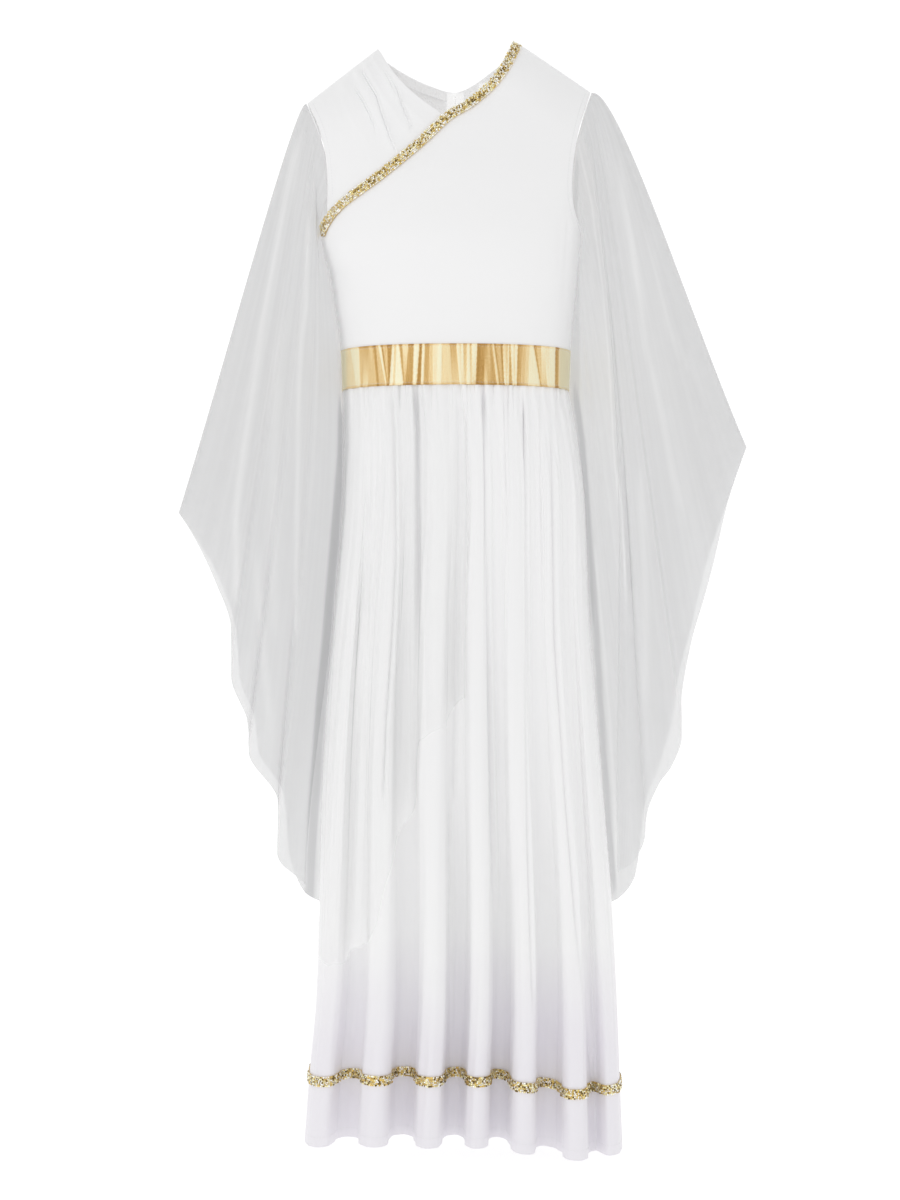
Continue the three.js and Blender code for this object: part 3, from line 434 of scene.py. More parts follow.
def make_mesh(name, verts, faces, material, uvs=None, values=None, smooth_angle=55.0):
    """A mesh object from metres, with uvs and named float values for each vertex."""
    mesh = bpy.data.meshes.new(name)
    faces = np.asarray(faces, np.int32)
    count, corners = faces.shape
    mesh.vertices.add(len(verts))
    mesh.vertices.foreach_set("co", np.asarray(verts, np.float32).ravel())
    mesh.loops.add(count * corners)
    mesh.loops.foreach_set("vertex_index", faces.ravel())
    mesh.polygons.add(count)
    mesh.polygons.foreach_set("loop_start", np.arange(count, dtype=np.int32) * corners)
    mesh.polygons.foreach_set("use_smooth", np.ones(count, bool))
    mesh.update(calc_edges=True)
    if uvs is not None:
        layer = mesh.uv_layers.new(name="cloth")
        layer.data.foreach_set("uv", np.asarray(uvs, np.float32)[faces.ravel()].ravel())
    for key, value in (values or {}).items():
        attribute = mesh.attributes.new(key, "FLOAT", "POINT")
        attribute.data.foreach_set("value", np.asarray(value, np.float32).ravel())
    mesh.set_sharp_from_angle(angle=math.radians(smooth_angle))
    mesh.materials.append(material)
    obj = bpy.data.objects.new(name, mesh)
    scene.collection.objects.link(obj)
    return obj


def shell(name, points, thickness, material, values=None, hangs=False):
    """A thin closed shell of cloth round a grid of middle points (rows, columns, 3) in millimetres."""
    rows, cols = points.shape[:2]
    normal = grid_normals(points)
    inward = (normal[..., 1] * points[..., 1].mean() < 0).ravel().astype(float)
    verts = np.concatenate([(points + normal * thickness / 2).reshape(-1, 3),
                            (points - normal * thickness / 2).reshape(-1, 3)]) * MM
    index = np.arange(rows * cols).reshape(rows, cols)
    n = rows * cols
    outer = np.stack([index[:-1, :-1], index[:-1, 1:], index[1:, 1:], index[1:, :-1]], -1).reshape(-1, 4)
    starts = np.concatenate([index[0, :-1], index[:-1, -1], index[-1, :0:-1], index[:0:-1, 0]])
    ends = np.concatenate([index[0, 1:], index[1:, -1], index[-1, -2::-1], index[-2::-1, 0]])
    rim = np.stack([ends, starts, starts + n, ends + n], -1)
    faces = np.concatenate([outer, outer[:, ::-1] + n, rim])
    across, down = lengths(points, 1), lengths(points, 0)
    if hangs:
        across = np.broadcast_to(across[rows // 2], (rows, cols))
        down = np.broadcast_to(down.mean(1, keepdims=True), (rows, cols))
    uv = np.stack([across, down], -1) * MM
    uvs = np.tile(uv.reshape(-1, 2), (2, 1))
    doubled = {k: np.tile(np.asarray(v).ravel(), 2) for k, v in (values or {}).items()}
    doubled["inner"] = np.concatenate([inward, 1 - inward])
    return make_mesh(name, verts, faces, material, uvs, doubled)


def dress(obj, slot, *nodes, body_name="dress"):
    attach(obj, body_name)
    if nodes:
        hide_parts(*nodes)
    return obj


# Materials

class Look:
    """A node material: each call adds a node, and the shader's own sockets take plain numbers."""

    def __init__(self, name, **sockets):
        self.material = bpy.data.materials.new(name)
        self.material.use_nodes = True
        self.tree = self.material.node_tree
        self.tree.nodes.clear()
        output = self.tree.nodes.new("ShaderNodeOutputMaterial")
        self.shader = self.tree.nodes.new("ShaderNodeBsdfPrincipled")
        self.tree.links.new(self.shader.outputs[0], output.inputs[0])
        for key, value in sockets.items():
            self.shader.inputs[key.replace("_", " ")].default_value = value

    def node(self, kind, inputs=None, **settings):
        made = self.tree.nodes.new("ShaderNode" + kind)
        for key, value in settings.items():
            setattr(made, key, value)
        for key, value in (inputs or {}).items():
            self.put(made.inputs[key], value)
        return made

    def put(self, socket, value):
        if isinstance(value, bpy.types.NodeSocket):
            self.tree.links.new(value, socket)
        else:
            socket.default_value = value

    def set(self, key, value):
        self.put(self.shader.inputs[key], value)

    def math(self, operation, a, b):
        return self.node("Math", {0: a, 1: b}, operation=operation).outputs[0]

    def add(self, a, b):
        return self.math("ADD", a, b)

    def times(self, a, b):
        return self.math("MULTIPLY", a, b)

    def less(self, a, b):
        return self.math("SUBTRACT", a, b)

    def range(self, value, low, high, to_low=0.0, to_high=1.0):
        return self.node("MapRange", {0: value, 1: low, 2: high, 3: to_low, 4: to_high}).outputs[0]

    def mix(self, factor, a, b):
        return self.node("Mix", {0: factor, 6: a, 7: b}, data_type="RGBA").outputs[2]

    def place(self, scale=(1, 1, 1), uv=True):
        coordinate = self.node("TexCoord").outputs["UV" if uv else "Object"]
        return self.node("Mapping", {"Vector": coordinate, "Scale": scale}).outputs[0]

    def noise(self, scale, stretch=(1, 1, 1), uv=True, detail=3.0):
        inputs = {"Vector": self.place(stretch, uv), "Scale": scale, "Detail": detail, "Roughness": 0.55}
        return self.node("TexNoise", inputs).outputs[0]

    def wave(self, direction, scale):
        inputs = {"Vector": self.place(), "Scale": scale}
        return self.node("TexWave", inputs, bands_direction=direction).outputs[1]

    def value(self, name):
        return self.node("Attribute", attribute_name=name).outputs["Fac"]

    def ramp(self, value, stops):
        made = self.node("ValToRGB", {0: value})
        elements = made.color_ramp.elements
        while len(elements) < len(stops):
            elements.new(0.5)
        for element, (position, colour) in zip(elements, stops):
            element.position = position
            element.color = (*colour, 1)
        return made.outputs[0]

    def bump(self, *layers):
        """layers are (height, strength, distance in metres), laid one on the other."""
        normal = None
        for height, strength, distance in layers:
            made = self.node("Bump", {"Height": height, "Strength": strength, "Distance": distance})
            if normal is not None:
                self.put(made.inputs["Normal"], normal)
            normal = made.outputs[0]
        self.set("Normal", normal)


def weave(look, scale):
    """Crossing threads."""
    return look.add(look.wave("X", scale), look.wave("Y", scale))


SATIN_WEAVE = 352.0
CHIFFON_WEAVE = 288.0


def satin_look(name):
    """White satin, pale lavender below. The value trough paints shade into its folds, and the satin glows a
    little all over and more on its inside faces as painted light.
    """
    look = Look(name, Specular_IOR_Level=0.3, Sheen_Weight=0.12, Sheen_Roughness=0.4,
                Emission_Color=(1, 1, 1, 1))
    height = look.node("SeparateXYZ", {0: look.node("TexCoord").outputs["Object"]}).outputs[2]
    uneven = look.noise(9.0, uv=False, detail=2.0)
    level = look.add(height, look.times(look.less(uneven, 0.5), 0.12))
    low = look.range(level, -1.08, -1.2)
    white = look.mix(look.noise(3.0, uv=False), (0.875, 0.875, 0.875, 1), (0.895, 0.893, 0.897, 1))
    colour = look.mix(look.times(low, 0.9), white, (0.81, 0.788, 0.832, 1))
    streaks = look.noise(1.0, (260, 3, 1), detail=2.0)
    colour = look.mix(look.range(streaks, 0.35, 0.75, 0.0, 0.02), colour, (0.8, 0.8, 0.81, 1))
    # painted shade: the colour greys where the value trough is high, deep in the crisp folds
    colour = look.mix(look.value("trough"), colour, (0.66, 0.65, 0.67, 1))
    look.set("Base Color", colour)
    look.set("Roughness", look.range(look.noise(60.0), 0.3, 0.7, 0.42, 0.58))
    # painted light: a faint glow over all the satin and a stronger one on its inside faces
    look.set("Emission Strength", look.add(look.times(look.value("inner"), 0.07), 0.05))
    waves = look.noise(35.0, uv=False)
    look.bump((weave(look, SATIN_WEAVE), 0.25, 0.0001), (streaks, 0.03, 0.0008), (waves, 0.08, 0.002))
    return look.material


def chiffon_look(name, colour, alpha, streak, creased=0.06):
    """Sheer cloth, with values for light along its folds, shade beside the body and glow between layers."""
    look = Look(name, Roughness=0.75, Specular_IOR_Level=0.15, Sheen_Weight=0.15, Sheen_Roughness=0.6)
    lines = look.noise(1.0, (110, 0.9, 1), detail=3.0)
    soft = look.noise(1.0, (30, 0.7, 1), detail=1.0)
    light = tuple(min(1, c * 1.02) for c in colour)
    shade = tuple(c * 0.98 for c in colour)
    both = look.add(look.times(lines, 0.35), look.times(soft, 0.65))
    base = look.ramp(both, [(0.38, shade), (0.5, colour), (0.6, light)])
    base = look.mix(look.value("shine"), base, (1, 1, 1, 1))
    look.set("Base Color", look.mix(look.value("shade"), base, (0.5, 0.5, 0.51, 1)))
    look.set("Emission Color", (1, 1, 1, 1))
    look.set("Emission Strength", look.times(look.value("glow"), 0.24))
    threads = weave(look, CHIFFON_WEAVE)
    held = look.range(both, 0.35, 0.65, alpha - streak, alpha + streak)
    look.set("Alpha", look.add(held, look.times(look.less(threads, 1.0), 0.02)))
    look.bump((threads, 0.2, 0.0001), (lines, creased, 0.0008))
    return look.material


def foil_look():
    look = Look("foil_cloth", Metallic=0.5, Roughness=0.38, Specular_IOR_Level=0.5)
    grain = look.range(look.noise(950.0, detail=2.0), 0.38, 0.62)
    crinkle = look.noise(1.0, (520, 26, 1), detail=2.0)
    uneven = look.add(look.times(grain, 0.34), look.times(crinkle, 0.3))
    # the facets' bright and dark tones are painted reflection of the creased foil
    painted_reflection = look.add(look.value("painted_reflection"), look.less(uneven, 0.31))
    painted_gold_reflection = look.ramp(painted_reflection, [
        (0.0, (0.42, 0.21, 0.045)), (0.25, (0.63, 0.37, 0.105)), (0.5, (0.83, 0.57, 0.25)),
        (0.75, (0.98, 0.79, 0.44)), (1.0, (1.0, 0.96, 0.72)),
    ])
    # painted shade: an olive cast where the belt rounds away at its ends
    painted_end_shade = look.times(look.value("painted_end_shade"), 0.6)
    look.set("Base Color", look.mix(painted_end_shade, painted_gold_reflection, (0.80, 0.79, 0.58, 1)))
    look.bump((grain, 0.4, 0.0003), (crinkle, 0.5, 0.001))
    return look.material


# painted reflections of the beads, from dark shade to a near-white glint
BEAD_PAINTED_REFLECTIONS = [
    (0.0, (0.17, 0.11, 0.03)), (0.35, (0.86, 0.63, 0.2)), (0.65, (1.0, 0.95, 0.58)), (1.0, (1.0, 1.0, 0.96)),
]


def bead_look():
    look = Look("gold_bead", Metallic=0.85, Roughness=0.24)
    look.set("Base Color", look.ramp(look.value("painted_reflection"), BEAD_PAINTED_REFLECTIONS))
    look.bump((look.noise(700.0, uv=False), 0.3, 0.0003))
    return look.material


def plain_look(name, colour, shade, rough=0.7, metallic=0.0, grain=1500.0, strength=0.3, glow=0.0):
    look = Look(name, Roughness=rough, Metallic=metallic, Emission_Strength=glow, Emission_Color=(1, 1, 1, 1))
    look.set("Base Color", look.mix(look.noise(60.0, uv=False), (*colour, 1), (*shade, 1)))
    look.bump((look.noise(grain, uv=False), strength, 0.0002))
    return look.material


satin = satin_look("satin")
facing_satin = plain_look("facing_satin", (0.96, 0.96, 0.965), (0.94, 0.94, 0.945), 0.5, grain=400.0,
                          strength=0.15, glow=0.1)
chiffon = chiffon_look("sheer_chiffon", (0.82, 0.82, 0.825), 0.46, 0.02)
overlay_cloth = chiffon_look("sheer_overlay", (1.0, 1.0, 1.0), 0.15, 0.008, 0.01)
foil = foil_look()
gold = bead_look()
braid_ground = plain_look("braid_ground", (0.85, 0.66, 0.32), (0.6, 0.43, 0.16), 0.6, 0.3, 900.0, 0.6)
tape = plain_look("zip_tape_weave", (0.97, 0.97, 0.97), (0.93, 0.93, 0.935), glow=0.22)
thread = plain_look("sewing_thread", (0.84, 0.84, 0.85), (0.78, 0.78, 0.79))
ribbon = plain_look("label_ribbon", (0.98, 0.98, 0.98), (0.96, 0.96, 0.96), 0.4, glow=0.22)
enamel = plain_look("white_enamel", (0.78, 0.78, 0.78), (0.74, 0.74, 0.74), 0.3, 0.1, 300.0, 0.1)

# Bodice

FINE = 1.0


def count(n):
    return max(4, int(n * FINE))


def crowd_both(t):
    return 0.5 - 0.5 * np.cos(math.pi * t)


def crowd_end(t):
    return np.sin(math.pi / 2 * t)


def crowd_start(t):
    return 1 - np.cos(math.pi / 2 * t)


def crowd_top(v):
    return 1 - (1 - v) ** 1.6


def side_seam(edge, underarm):
    """A line up the body's side from the waist to the underarm."""

    def at(t):
        z = mix(WAIST_TOP + SEAM_GAP / 2, underarm, np.asarray(t, float))
        return np.stack([edge(z), z], -1)

    return at


on_left = (float(body["left"](LEFT_UNDERARM)), LEFT_UNDERARM)
on_right = (float(body["right"](RIGHT_UNDERARM)), RIGHT_UNDERARM)
armholes = {"left": path([on_left, *LEFT_ARMHOLE]), "right": path([on_right, *RIGHT_ARMHOLE])}
slant = path([on_left, *SLANT])
WAIST_Z = WAIST_TOP + SEAM_GAP / 2
waist_left = (float(body["left"](WAIST_TOP)), WAIST_Z)
waist_right = (float(body["right"](WAIST_TOP)), WAIST_Z)
left_side = joined(side_seam(body["left"], LEFT_UNDERARM), armholes["left"], 0.42)
right_side = joined(side_seam(body["right"], RIGHT_UNDERARM), armholes["right"], 0.42)

BODICE_CREASES = [  # picture places from top to bottom, width, depth, lean
    ([(571, 205), (568, 240), (566, 300)], 3.5, 1.6, 0.4),
    ([(562, 215), (560, 262)], 2.6, 0.9, 0.3),
    ([(329, 255), (338, 290), (345, 335)], 4.0, 0.8, -0.4),
    ([(352, 300), (356, 345)], 6.0, 0.7, 0.3),
    ([(420, 315), (424, 345)], 7.0, 0.7, 0.3),
    ([(500, 318), (497, 345)], 8.0, 0.8, -0.3),
    ([(548, 310), (543, 347)], 6.0, 0.7, 0.3),
]
BACK_BODICE_CREASES = [
    ([(346, 250), (352, 300), (357, 345)], 5.0, 1.2, 0.4),
    ([(400, 290), (403, 345)], 8.0, 1.0, 0.3),
    ([(430, 255), (436, 345)], 6.0, 0.9, -0.3),
    ([(476, 250), (472, 345)], 6.0, 0.9, 0.3),
    ([(520, 285), (515, 345)], 8.0, 1.0, -0.3),
    ([(562, 245), (556, 345)], 5.0, 1.2, -0.4),
]


BODICE_WAVES = 0.7


def bodice_points(edges, side, columns, rows, ease, creases, seed):
    """Points of a bodice piece inside its four edges, creased and a little uneven away from the seams."""
    u, v = ease(np.linspace(0, 1, columns + 1)), crowd_top(np.linspace(0, 1, rows + 1))
    place = patch(*edges, u, v)
    x, z = place[..., 0], place[..., 1]
    fade = smooth(np.minimum.reduce(np.broadcast_arrays(
        10 * u[None], 10 * (1 - u[None]), 12 * (1 - v[:, None]), 25 * v[:, None])))
    lift = crease_height(x, z, creases, PICTURE_DEPTH[side])
    lift = (lift + BODICE_WAVES * noise(x.shape, (5, 7), seed)) * fade
    return body_point(x, z, side, lift)[0]


front_top = joined(slant, straight(RIGHT_NECK, RIGHT_TIP), 0.76)
front_side = side_seam(body["left"], LEFT_UNDERARM)
front_edges = (straight(waist_left, waist_right), front_top, front_side, right_side)
grid = bodice_points(front_edges, "front", count(130), count(80), crowd_both, BODICE_CREASES, 11)
dress(shell("front_bodice", grid, SATIN, satin), "satin", "bodice_front")


def pleat_height(u, v):
    """The part's soft pleats."""
    height = np.zeros(np.broadcast(u, v).shape)
    for seam, low, deep, width in SHOULDER_PLEATS:
        d = (u - mix(low, seam, v)) / width
        height += deep * np.exp(-d * d) * mix(0.5, 1, v)
    return height


PANEL_CREASES = [
    ([(362, 69), (368, 82), (376, 96), (380, 110), (385, 125), (390, 140), (396, 155)], 1.0, 2.8, 0.5),
    ([(355, 88), (363, 102), (369, 115), (375, 130)], 1.0, 2.2, 0.5),
    ([(384, 70), (389, 80), (395, 94)], 0.9, 1.8, 0.5),
    ([(391, 78), (396, 88), (402, 107), (410, 128)], 1.0, 2.4, 0.5),
    ([(345, 86), (352, 104), (362, 130)], 4.0, 0.8, -0.5),
]


PANEL_TUCK = 1.6
PANEL_WAVES = 0.35


def panel_points():
    columns, rows = count(250), count(70)
    u, v = np.linspace(0, 1, columns + 1), crowd_top(np.linspace(0, 1, rows + 1))
    foot = slant(np.array(SLANT_ARMHOLE_PLACE))
    low = lambda t: slant(mix(SLANT_ARMHOLE_PLACE, SLANT_NECK_PLACE, np.asarray(t, float)))
    armhole = path([tuple(foot), *LEFT_ARMHOLE[1:]])
    place = patch(low, straight(LEFT_TIP, LEFT_NECK), armhole, path(FRONT_NECK), u, v)
    tuck = PANEL_TUCK * (1 - v[:, None]) ** 3
    x, z = place[..., 0] - tuck, place[..., 1] + tuck
    from_edge = np.minimum.reduce(np.broadcast_arrays(u[None], 1 - u[None], v[:, None], 1 - v[:, None]))
    lift = pleat_height(u[None], v[:, None]) + crease_height(x, z, PANEL_CREASES, -75.0)
    lift = lift + PANEL_WAVES * noise(x.shape, (4, 9), 5)
    return body_point(x, z, "front", lift * np.clip(8 * from_edge, 0, 1))[0]


dress(shell("shoulder_panel_cloth", panel_points(), SATIN, satin), "satin", "shoulder_panel")


back_neck = path(BACK_NECK)


def neck_share(x):
    """Share of the back neckline before a place across."""
    t = np.linspace(0, 1, 4001)
    return float(np.interp(x, back_neck(t)[:, 0], t))


def back_points(hand):
    zip_x = CENTRE_BACK_X + (-SEAM_GAP / 2 if hand == "left" else SEAM_GAP / 2)
    share = neck_share(zip_x)
    foot = (zip_x, WAIST_Z)
    zip_edge = straight(foot, back_neck(np.array(share)))
    if hand == "left":
        neck = joined(straight(LEFT_TIP, LEFT_NECK), lambda t: back_neck(share * t), 0.5)
        edges = (straight(waist_left, foot), neck, left_side, zip_edge)
        return bodice_points(edges, "back", count(75), count(80), crowd_start, BACK_BODICE_CREASES, 21)
    neck = joined(lambda t: back_neck(mix(share, 1, t)), straight(RIGHT_NECK, RIGHT_TIP), 0.5)
    edges = (straight(foot, waist_right), neck, zip_edge, right_side)
    return bodice_points(edges, "back", count(75), count(80), crowd_end, BACK_BODICE_CREASES, 22)


for hand in ("left", "right"):
    dress(shell(f"back_bodice_{hand}", back_points(hand), SATIN, satin), "satin", f"bodice_back_{hand}")

# Belt of creased foil

BELT_FACETS = [  # a facet's left edge in the picture and its painted reflection, bright or dark, each at the belt's top and foot
    (338, 338, 0.78, 0.78), (350, 356, 0.95, 0.95), (358.5, 360, 0.45, 0.6), (363, 363, 0.38, 0.8),
    (369, 368, 0.6, 0.55),
    (372.5, 377, 0.25, 0.22), (376, 379, 0.62, 0.55), (378.3, 386, 1.0, 0.95), (380.7, 387, 0.18, 0.2),
    (382.5, 387.8, 0.55, 0.5), (387, 388.4, 0.2, 0.12), (392.5, 389.5, 0.9, 1.0), (394.5, 393, 0.68, 0.7),
    (396.8, 395, 1.0, 1.0), (399, 403.5, 0.3, 0.35), (402.5, 404.5, 0.85, 0.42), (408.5, 405.5, 0.28, 0.25),
    (414.2, 413, 1.0, 0.95), (419.5, 416.5, 0.1, 0.1), (422.5, 421, 0.95, 0.9), (425, 423.5, 0.32, 0.38),
    (429.5, 429, 0.62, 0.6), (433, 433, 0.85, 0.85), (438, 437, 1.0, 0.95), (442, 441, 0.75, 0.72),
    (449.5, 452, 0.38, 0.66), (456.5, 459.5, 0.95, 0.9), (459, 461, 0.7, 0.95), (461, 462, 1.0, 0.8),
    (463, 464, 0.5, 0.7), (467, 466.5, 0.95, 0.95), (469.6, 470.5, 0.5, 0.6), (471.6, 471.7, 1.0, 0.8),
    (477, 475.5, 0.1, 0.12), (480.5, 479, 0.22, 0.2), (485, 484, 0.25, 0.7), (487, 487.5, 0.5, 0.4),
    (489.8, 491, 0.35, 0.3), (492, 496.8, 0.85, 0.8), (493.6, 499, 0.2, 0.28), (495.4, 500.8, 0.5, 0.45),
    (500.4, 503, 0.12, 0.15), (502.6, 504.2, 0.7, 1.0), (505.5, 505.8, 0.55, 0.75), (508, 507.3, 0.95, 0.95),
    (509, 508.5, 0.4, 0.35), (510.4, 512.4, 1.0, 0.95), (513.3, 513.6, 0.7, 0.75), (515, 514.6, 1.0, 0.95),
    (517.4, 516.4, 0.2, 0.3), (519.5, 518.5, 0.35, 0.4), (522.6, 520.4, 0.55, 0.55), (526, 524.5, 0.68, 0.7),
    (529.4, 528, 0.9, 0.95), (533.4, 540.6, 0.3, 0.25), (536.2, 541.4, 0.55, 0.6), (541.2, 542.4, 0.95, 0.65),
    (545, 547.5, 0.85, 0.95), (550, 550, 1.0, 0.95), (556, 555.6, 0.2, 0.3), (560, 559.4, 0.72, 0.75),
]


BACK_FACETS = 58
FACET_EDGE = 1.5
FACET_SLOPE = 3.2
FACET_HEIGHT = 1.3
FOIL = 1.6
BELT_OUT = 0.5
# picture places beyond which the belt's ends take a painted olive shade
PAINTED_SHADE_ENDS = (348, 558)


def belt_facets(side):
    if side == "front":
        return np.array(BELT_FACETS)
    random = np.random.default_rng(31)
    tops = np.sort(random.uniform(340, 568, BACK_FACETS))
    feet = np.sort(tops + random.normal(0, 2.5, BACK_FACETS))
    turns = np.where(np.arange(BACK_FACETS) % 2, 1, -1)
    painted_reflections = 0.55 + random.uniform(0.12, 0.45, BACK_FACETS) * turns
    return np.stack([tops, feet, painted_reflections, np.clip(painted_reflections + random.normal(0, 0.12, BACK_FACETS), 0.08, 1)], -1)


def belt_painted_reflection(x, z, side):
    """Painted reflection and lift of the foil's facets at a place on the belt, with painted shade along its
    top and foot.
    """
    facets = belt_facets(side)
    low = np.clip((WAIST_TOP - z) / (WAIST_TOP - WAIST_BOTTOM), 0, 1)
    painted_reflection, lift = mix(facets[0, 2], facets[0, 3], low), 0.5
    before = painted_reflection
    for top, foot, top_painted_reflection, foot_painted_reflection in facets[1:]:
        at = mix(photo_x(top), photo_x(foot), low) + 0.25 * np.sin(z * 0.9 + top)
        step = mix(top_painted_reflection, foot_painted_reflection, low) - before
        before = before + step
        painted_reflection = painted_reflection + step * smooth((x - at) / FACET_EDGE + 0.5)
        lift = lift + step * smooth((x - at) / FACET_SLOPE + 0.5)
    hem = np.minimum(WAIST_TOP - z, z - WAIST_BOTTOM)
    # painted shade: a thin dark line along the belt's top and foot
    return np.clip(painted_reflection - 0.25 * np.exp(-((hem / 1.4) ** 2)), 0, 1), lift - 0.5


def across_body(z, angle):
    """A place across the body, at an angle from its middle."""
    left, right = body["left"](z), body["right"](z)
    return (right + left) / 2 + (right - left) / 2 * np.sin(angle)


def belt_shell(name, side, start, end, columns, node):
    u = np.linspace(0, 1, count(columns) + 1)
    v = np.linspace(1, 0, count(14) + 1)
    z = mix(WAIST_BOTTOM + SEAM_GAP / 2, WAIST_TOP - SEAM_GAP / 2, v)[:, None]
    z = np.broadcast_to(z, (len(v), len(u)))
    x = across_body(z, mix(start, end, u)[None])
    painted_reflection, lift = belt_painted_reflection(x, z, side)
    edge = smooth(np.minimum(v, 1 - v) * 14)[:, None]
    ends = smooth(np.minimum(u, 1 - u) * 24)[None]
    proud = BELT_OUT + 0.5 * (1 - edge) + (FACET_HEIGHT * lift * edge + 0.3) * ends
    # painted shade at the belt's ends, where it rounds away
    painted_end_shade = smooth((photo_x(PAINTED_SHADE_ENDS[0]) - x) / 6) + smooth((x - photo_x(PAINTED_SHADE_ENDS[1])) / 5)
    points = body_point(x, z, side, proud)[0]
    dress(shell(name, points, FOIL, foil, {"painted_reflection": painted_reflection, "painted_end_shade": painted_end_shade}), "foil", node)


BELT_QUARTER = math.pi / 2
BELT_SPLIT_GAP = 0.001
belt_middle = (WAIST_TOP + WAIST_BOTTOM) / 2
belt_half = float(body["right"](belt_middle) - body["left"](belt_middle)) / 2
belt_split = math.asin((CENTRE_BACK_X - float(body["left"](belt_middle))) / belt_half - 1)
belt_shell("foil_belt_front", "front", -BELT_QUARTER, BELT_QUARTER, 760, "belt_front")
belt_shell("foil_belt_back_left", "back", -BELT_QUARTER, belt_split - BELT_SPLIT_GAP, 340, "belt_back_left")
belt_shell("foil_belt_back_right", "back", belt_split + BELT_SPLIT_GAP, BELT_QUARTER, 340, "belt_back_right")

# Skirt

SKIRT_CREASES = [
    ([(391, 392), (394, 430), (395, 495), (396, 560), (392, 640), (386, 720), (383, 800)], 2.0, 3.2, 0.5),
    ([(415, 388), (417, 430), (417, 495), (418, 560), (419, 660), (418, 755)], 2.8, 5.4, -0.3),
    ([(423, 400), (424, 495), (427, 600), (428, 740)], 7.0, 2.0, 0.0),
    ([(368, 400), (369, 495), (368, 600), (364, 820)], 2.2, 1.5, 0.5),
    ([(457, 395), (459, 495), (456, 600), (455, 690), (453, 800)], 3.5, 2.8, 0.6),
    ([(484, 394), (486, 495), (487, 620), (490, 760), (493, 900)], 2.6, 5.2, 0.5),
    ([(492, 520), (494, 640), (499, 780)], 7.0, 2.2, 0.0),
    ([(449, 800), (450, 900), (449, 1060)], 1.6, 3.0, 0.4),
    ([(524, 400), (526, 495), (526, 700), (528, 850), (533, 1000)], 1.8, 4.6, 0.6),
    ([(504, 390), (505, 440), (507, 540)], 1.4, 2.4, 0.4),
    ([(541, 392), (541, 470), (544, 600)], 1.6, 1.8, -0.4),
    ([(553, 430), (556, 640), (566, 800), (580, 960), (596, 1100)], 2.6, 4.2, 0.5),
    ([(576, 420), (589, 600), (601, 780), (611, 950)], 2.4, 3.4, -0.5),
    ([(349, 440), (350, 640), (352, 820)], 5.0, 0.7, 0.4),
    ([(466, 392), (467, 520), (467, 705)], 1.2, 1.2, 0.4),
    ([(512, 800), (516, 930), (520, 1060)], 5.0, 1.8, 0.3),
    ([(423, 850), (424, 980), (424, 1100)], 4.0, 1.6, -0.4),
    ([(340, 1000), (335, 1080), (330, 1140)], 5.0, 2.0, 0.3),
]
BACK_SKIRT_CREASES = [
    ([(352, 398), (348, 620), (342, 900)], 5.0, 2.6, 0.4),
    ([(381, 410), (376, 600), (370, 820), (366, 1000)], 4.0, 3.0, -0.4),
    ([(410, 398), (406, 560), (402, 760)], 4.0, 3.2, 0.5),
    ([(436, 430), (434, 640), (431, 880)], 6.0, 1.8, -0.4),
    ([(476, 400), (479, 560), (484, 760)], 4.0, 2.8, 0.4),
    ([(498, 420), (504, 620), (512, 860), (517, 1010)], 4.5, 3.2, -0.4),
    ([(528, 398), (536, 560), (549, 800)], 5.0, 2.6, 0.4),
    ([(556, 420), (569, 640), (588, 900)], 5.0, 2.8, -0.4),
]


SKIRT_SIDES = {"front": (FRONT_FOLDS, SKIRT_CREASES, 41), "back": (BACK_FOLDS, BACK_SKIRT_CREASES, 42)}
GATHERS = 48
SKIRT_WAVES = 0.8


def gathers(x, z, seed):
    """Short uneven gathers below the belt."""
    random = np.random.default_rng(seed)
    height = np.zeros(x.shape)
    below = WAIST_BOTTOM - z
    for _ in range(GATHERS):
        at = random.uniform(-130, 144)
        length = random.uniform(20, 90)
        lean = random.uniform(-0.05, 0.05)
        width = random.uniform(0.8, 1.8)
        deep = random.uniform(0.5, 1.6)
        fade = smooth(1.1 - below / length)
        d = (x - at - lean * below) / (width * (1 + below / 160))
        height += deep * fade * (0.3 * np.exp(-((d - 2) ** 2)) - np.exp(-d * d))
    return height


def painted_trough_shade(lift):
    """Painted shade for how deep in a crisp fold a place is, from 0 to 1."""
    return 0.55 * smooth((-lift - 0.8) / 5.0)


def noise_on(fold, drop, seed):
    """Long soft waves as a function of the place on the skirt, the same for every piece laid on it."""
    random = np.random.default_rng(seed + 500)
    total = 0.0
    for _ in range(14):
        k, m = random.uniform(2.0, 9.0), random.uniform(0.5, 2.6)
        total = total + np.sin(k * fold * math.pi + m * drop * math.pi * 2 + random.uniform(0, 6.3))
    return total / 6


def on_skirt(side, fold, drop, out, ridges=None):
    """Points, normals and painted trough shade of a cloth on the skirt's own folds and creases, ridges added
    last.
    """
    folds, creases, seed = SKIRT_SIDES[side]
    point, normal = skirt_point(folds, fold, drop, side)
    x, z = point[..., 0], point[..., 2]
    open_valley = np.clip(np.abs(normal[..., 1]), 0, 1)
    lift = crease_height(x, z, creases, PICTURE_DEPTH[side]) * open_valley + gathers(x, z, seed)
    # trough is painted shade, darker the deeper a place lies in a crisp fold
    trough = painted_trough_shade(lift)
    lift = lift + SKIRT_WAVES * noise_on(fold, drop, seed) * smooth(drop * 6)
    from_seam = np.abs(fold - CENTRE_BACK_FOLD) if side == "back" else np.full_like(fold, len(folds))
    hold = smooth(np.minimum(fold, len(folds) - 1 - fold) * 1.6)
    lift = lift * hold * smooth(from_seam * 3) + out
    if ridges is not None:
        lift = lift + ridges(x, z)
    return point + normal * lift[..., None], normal, trough


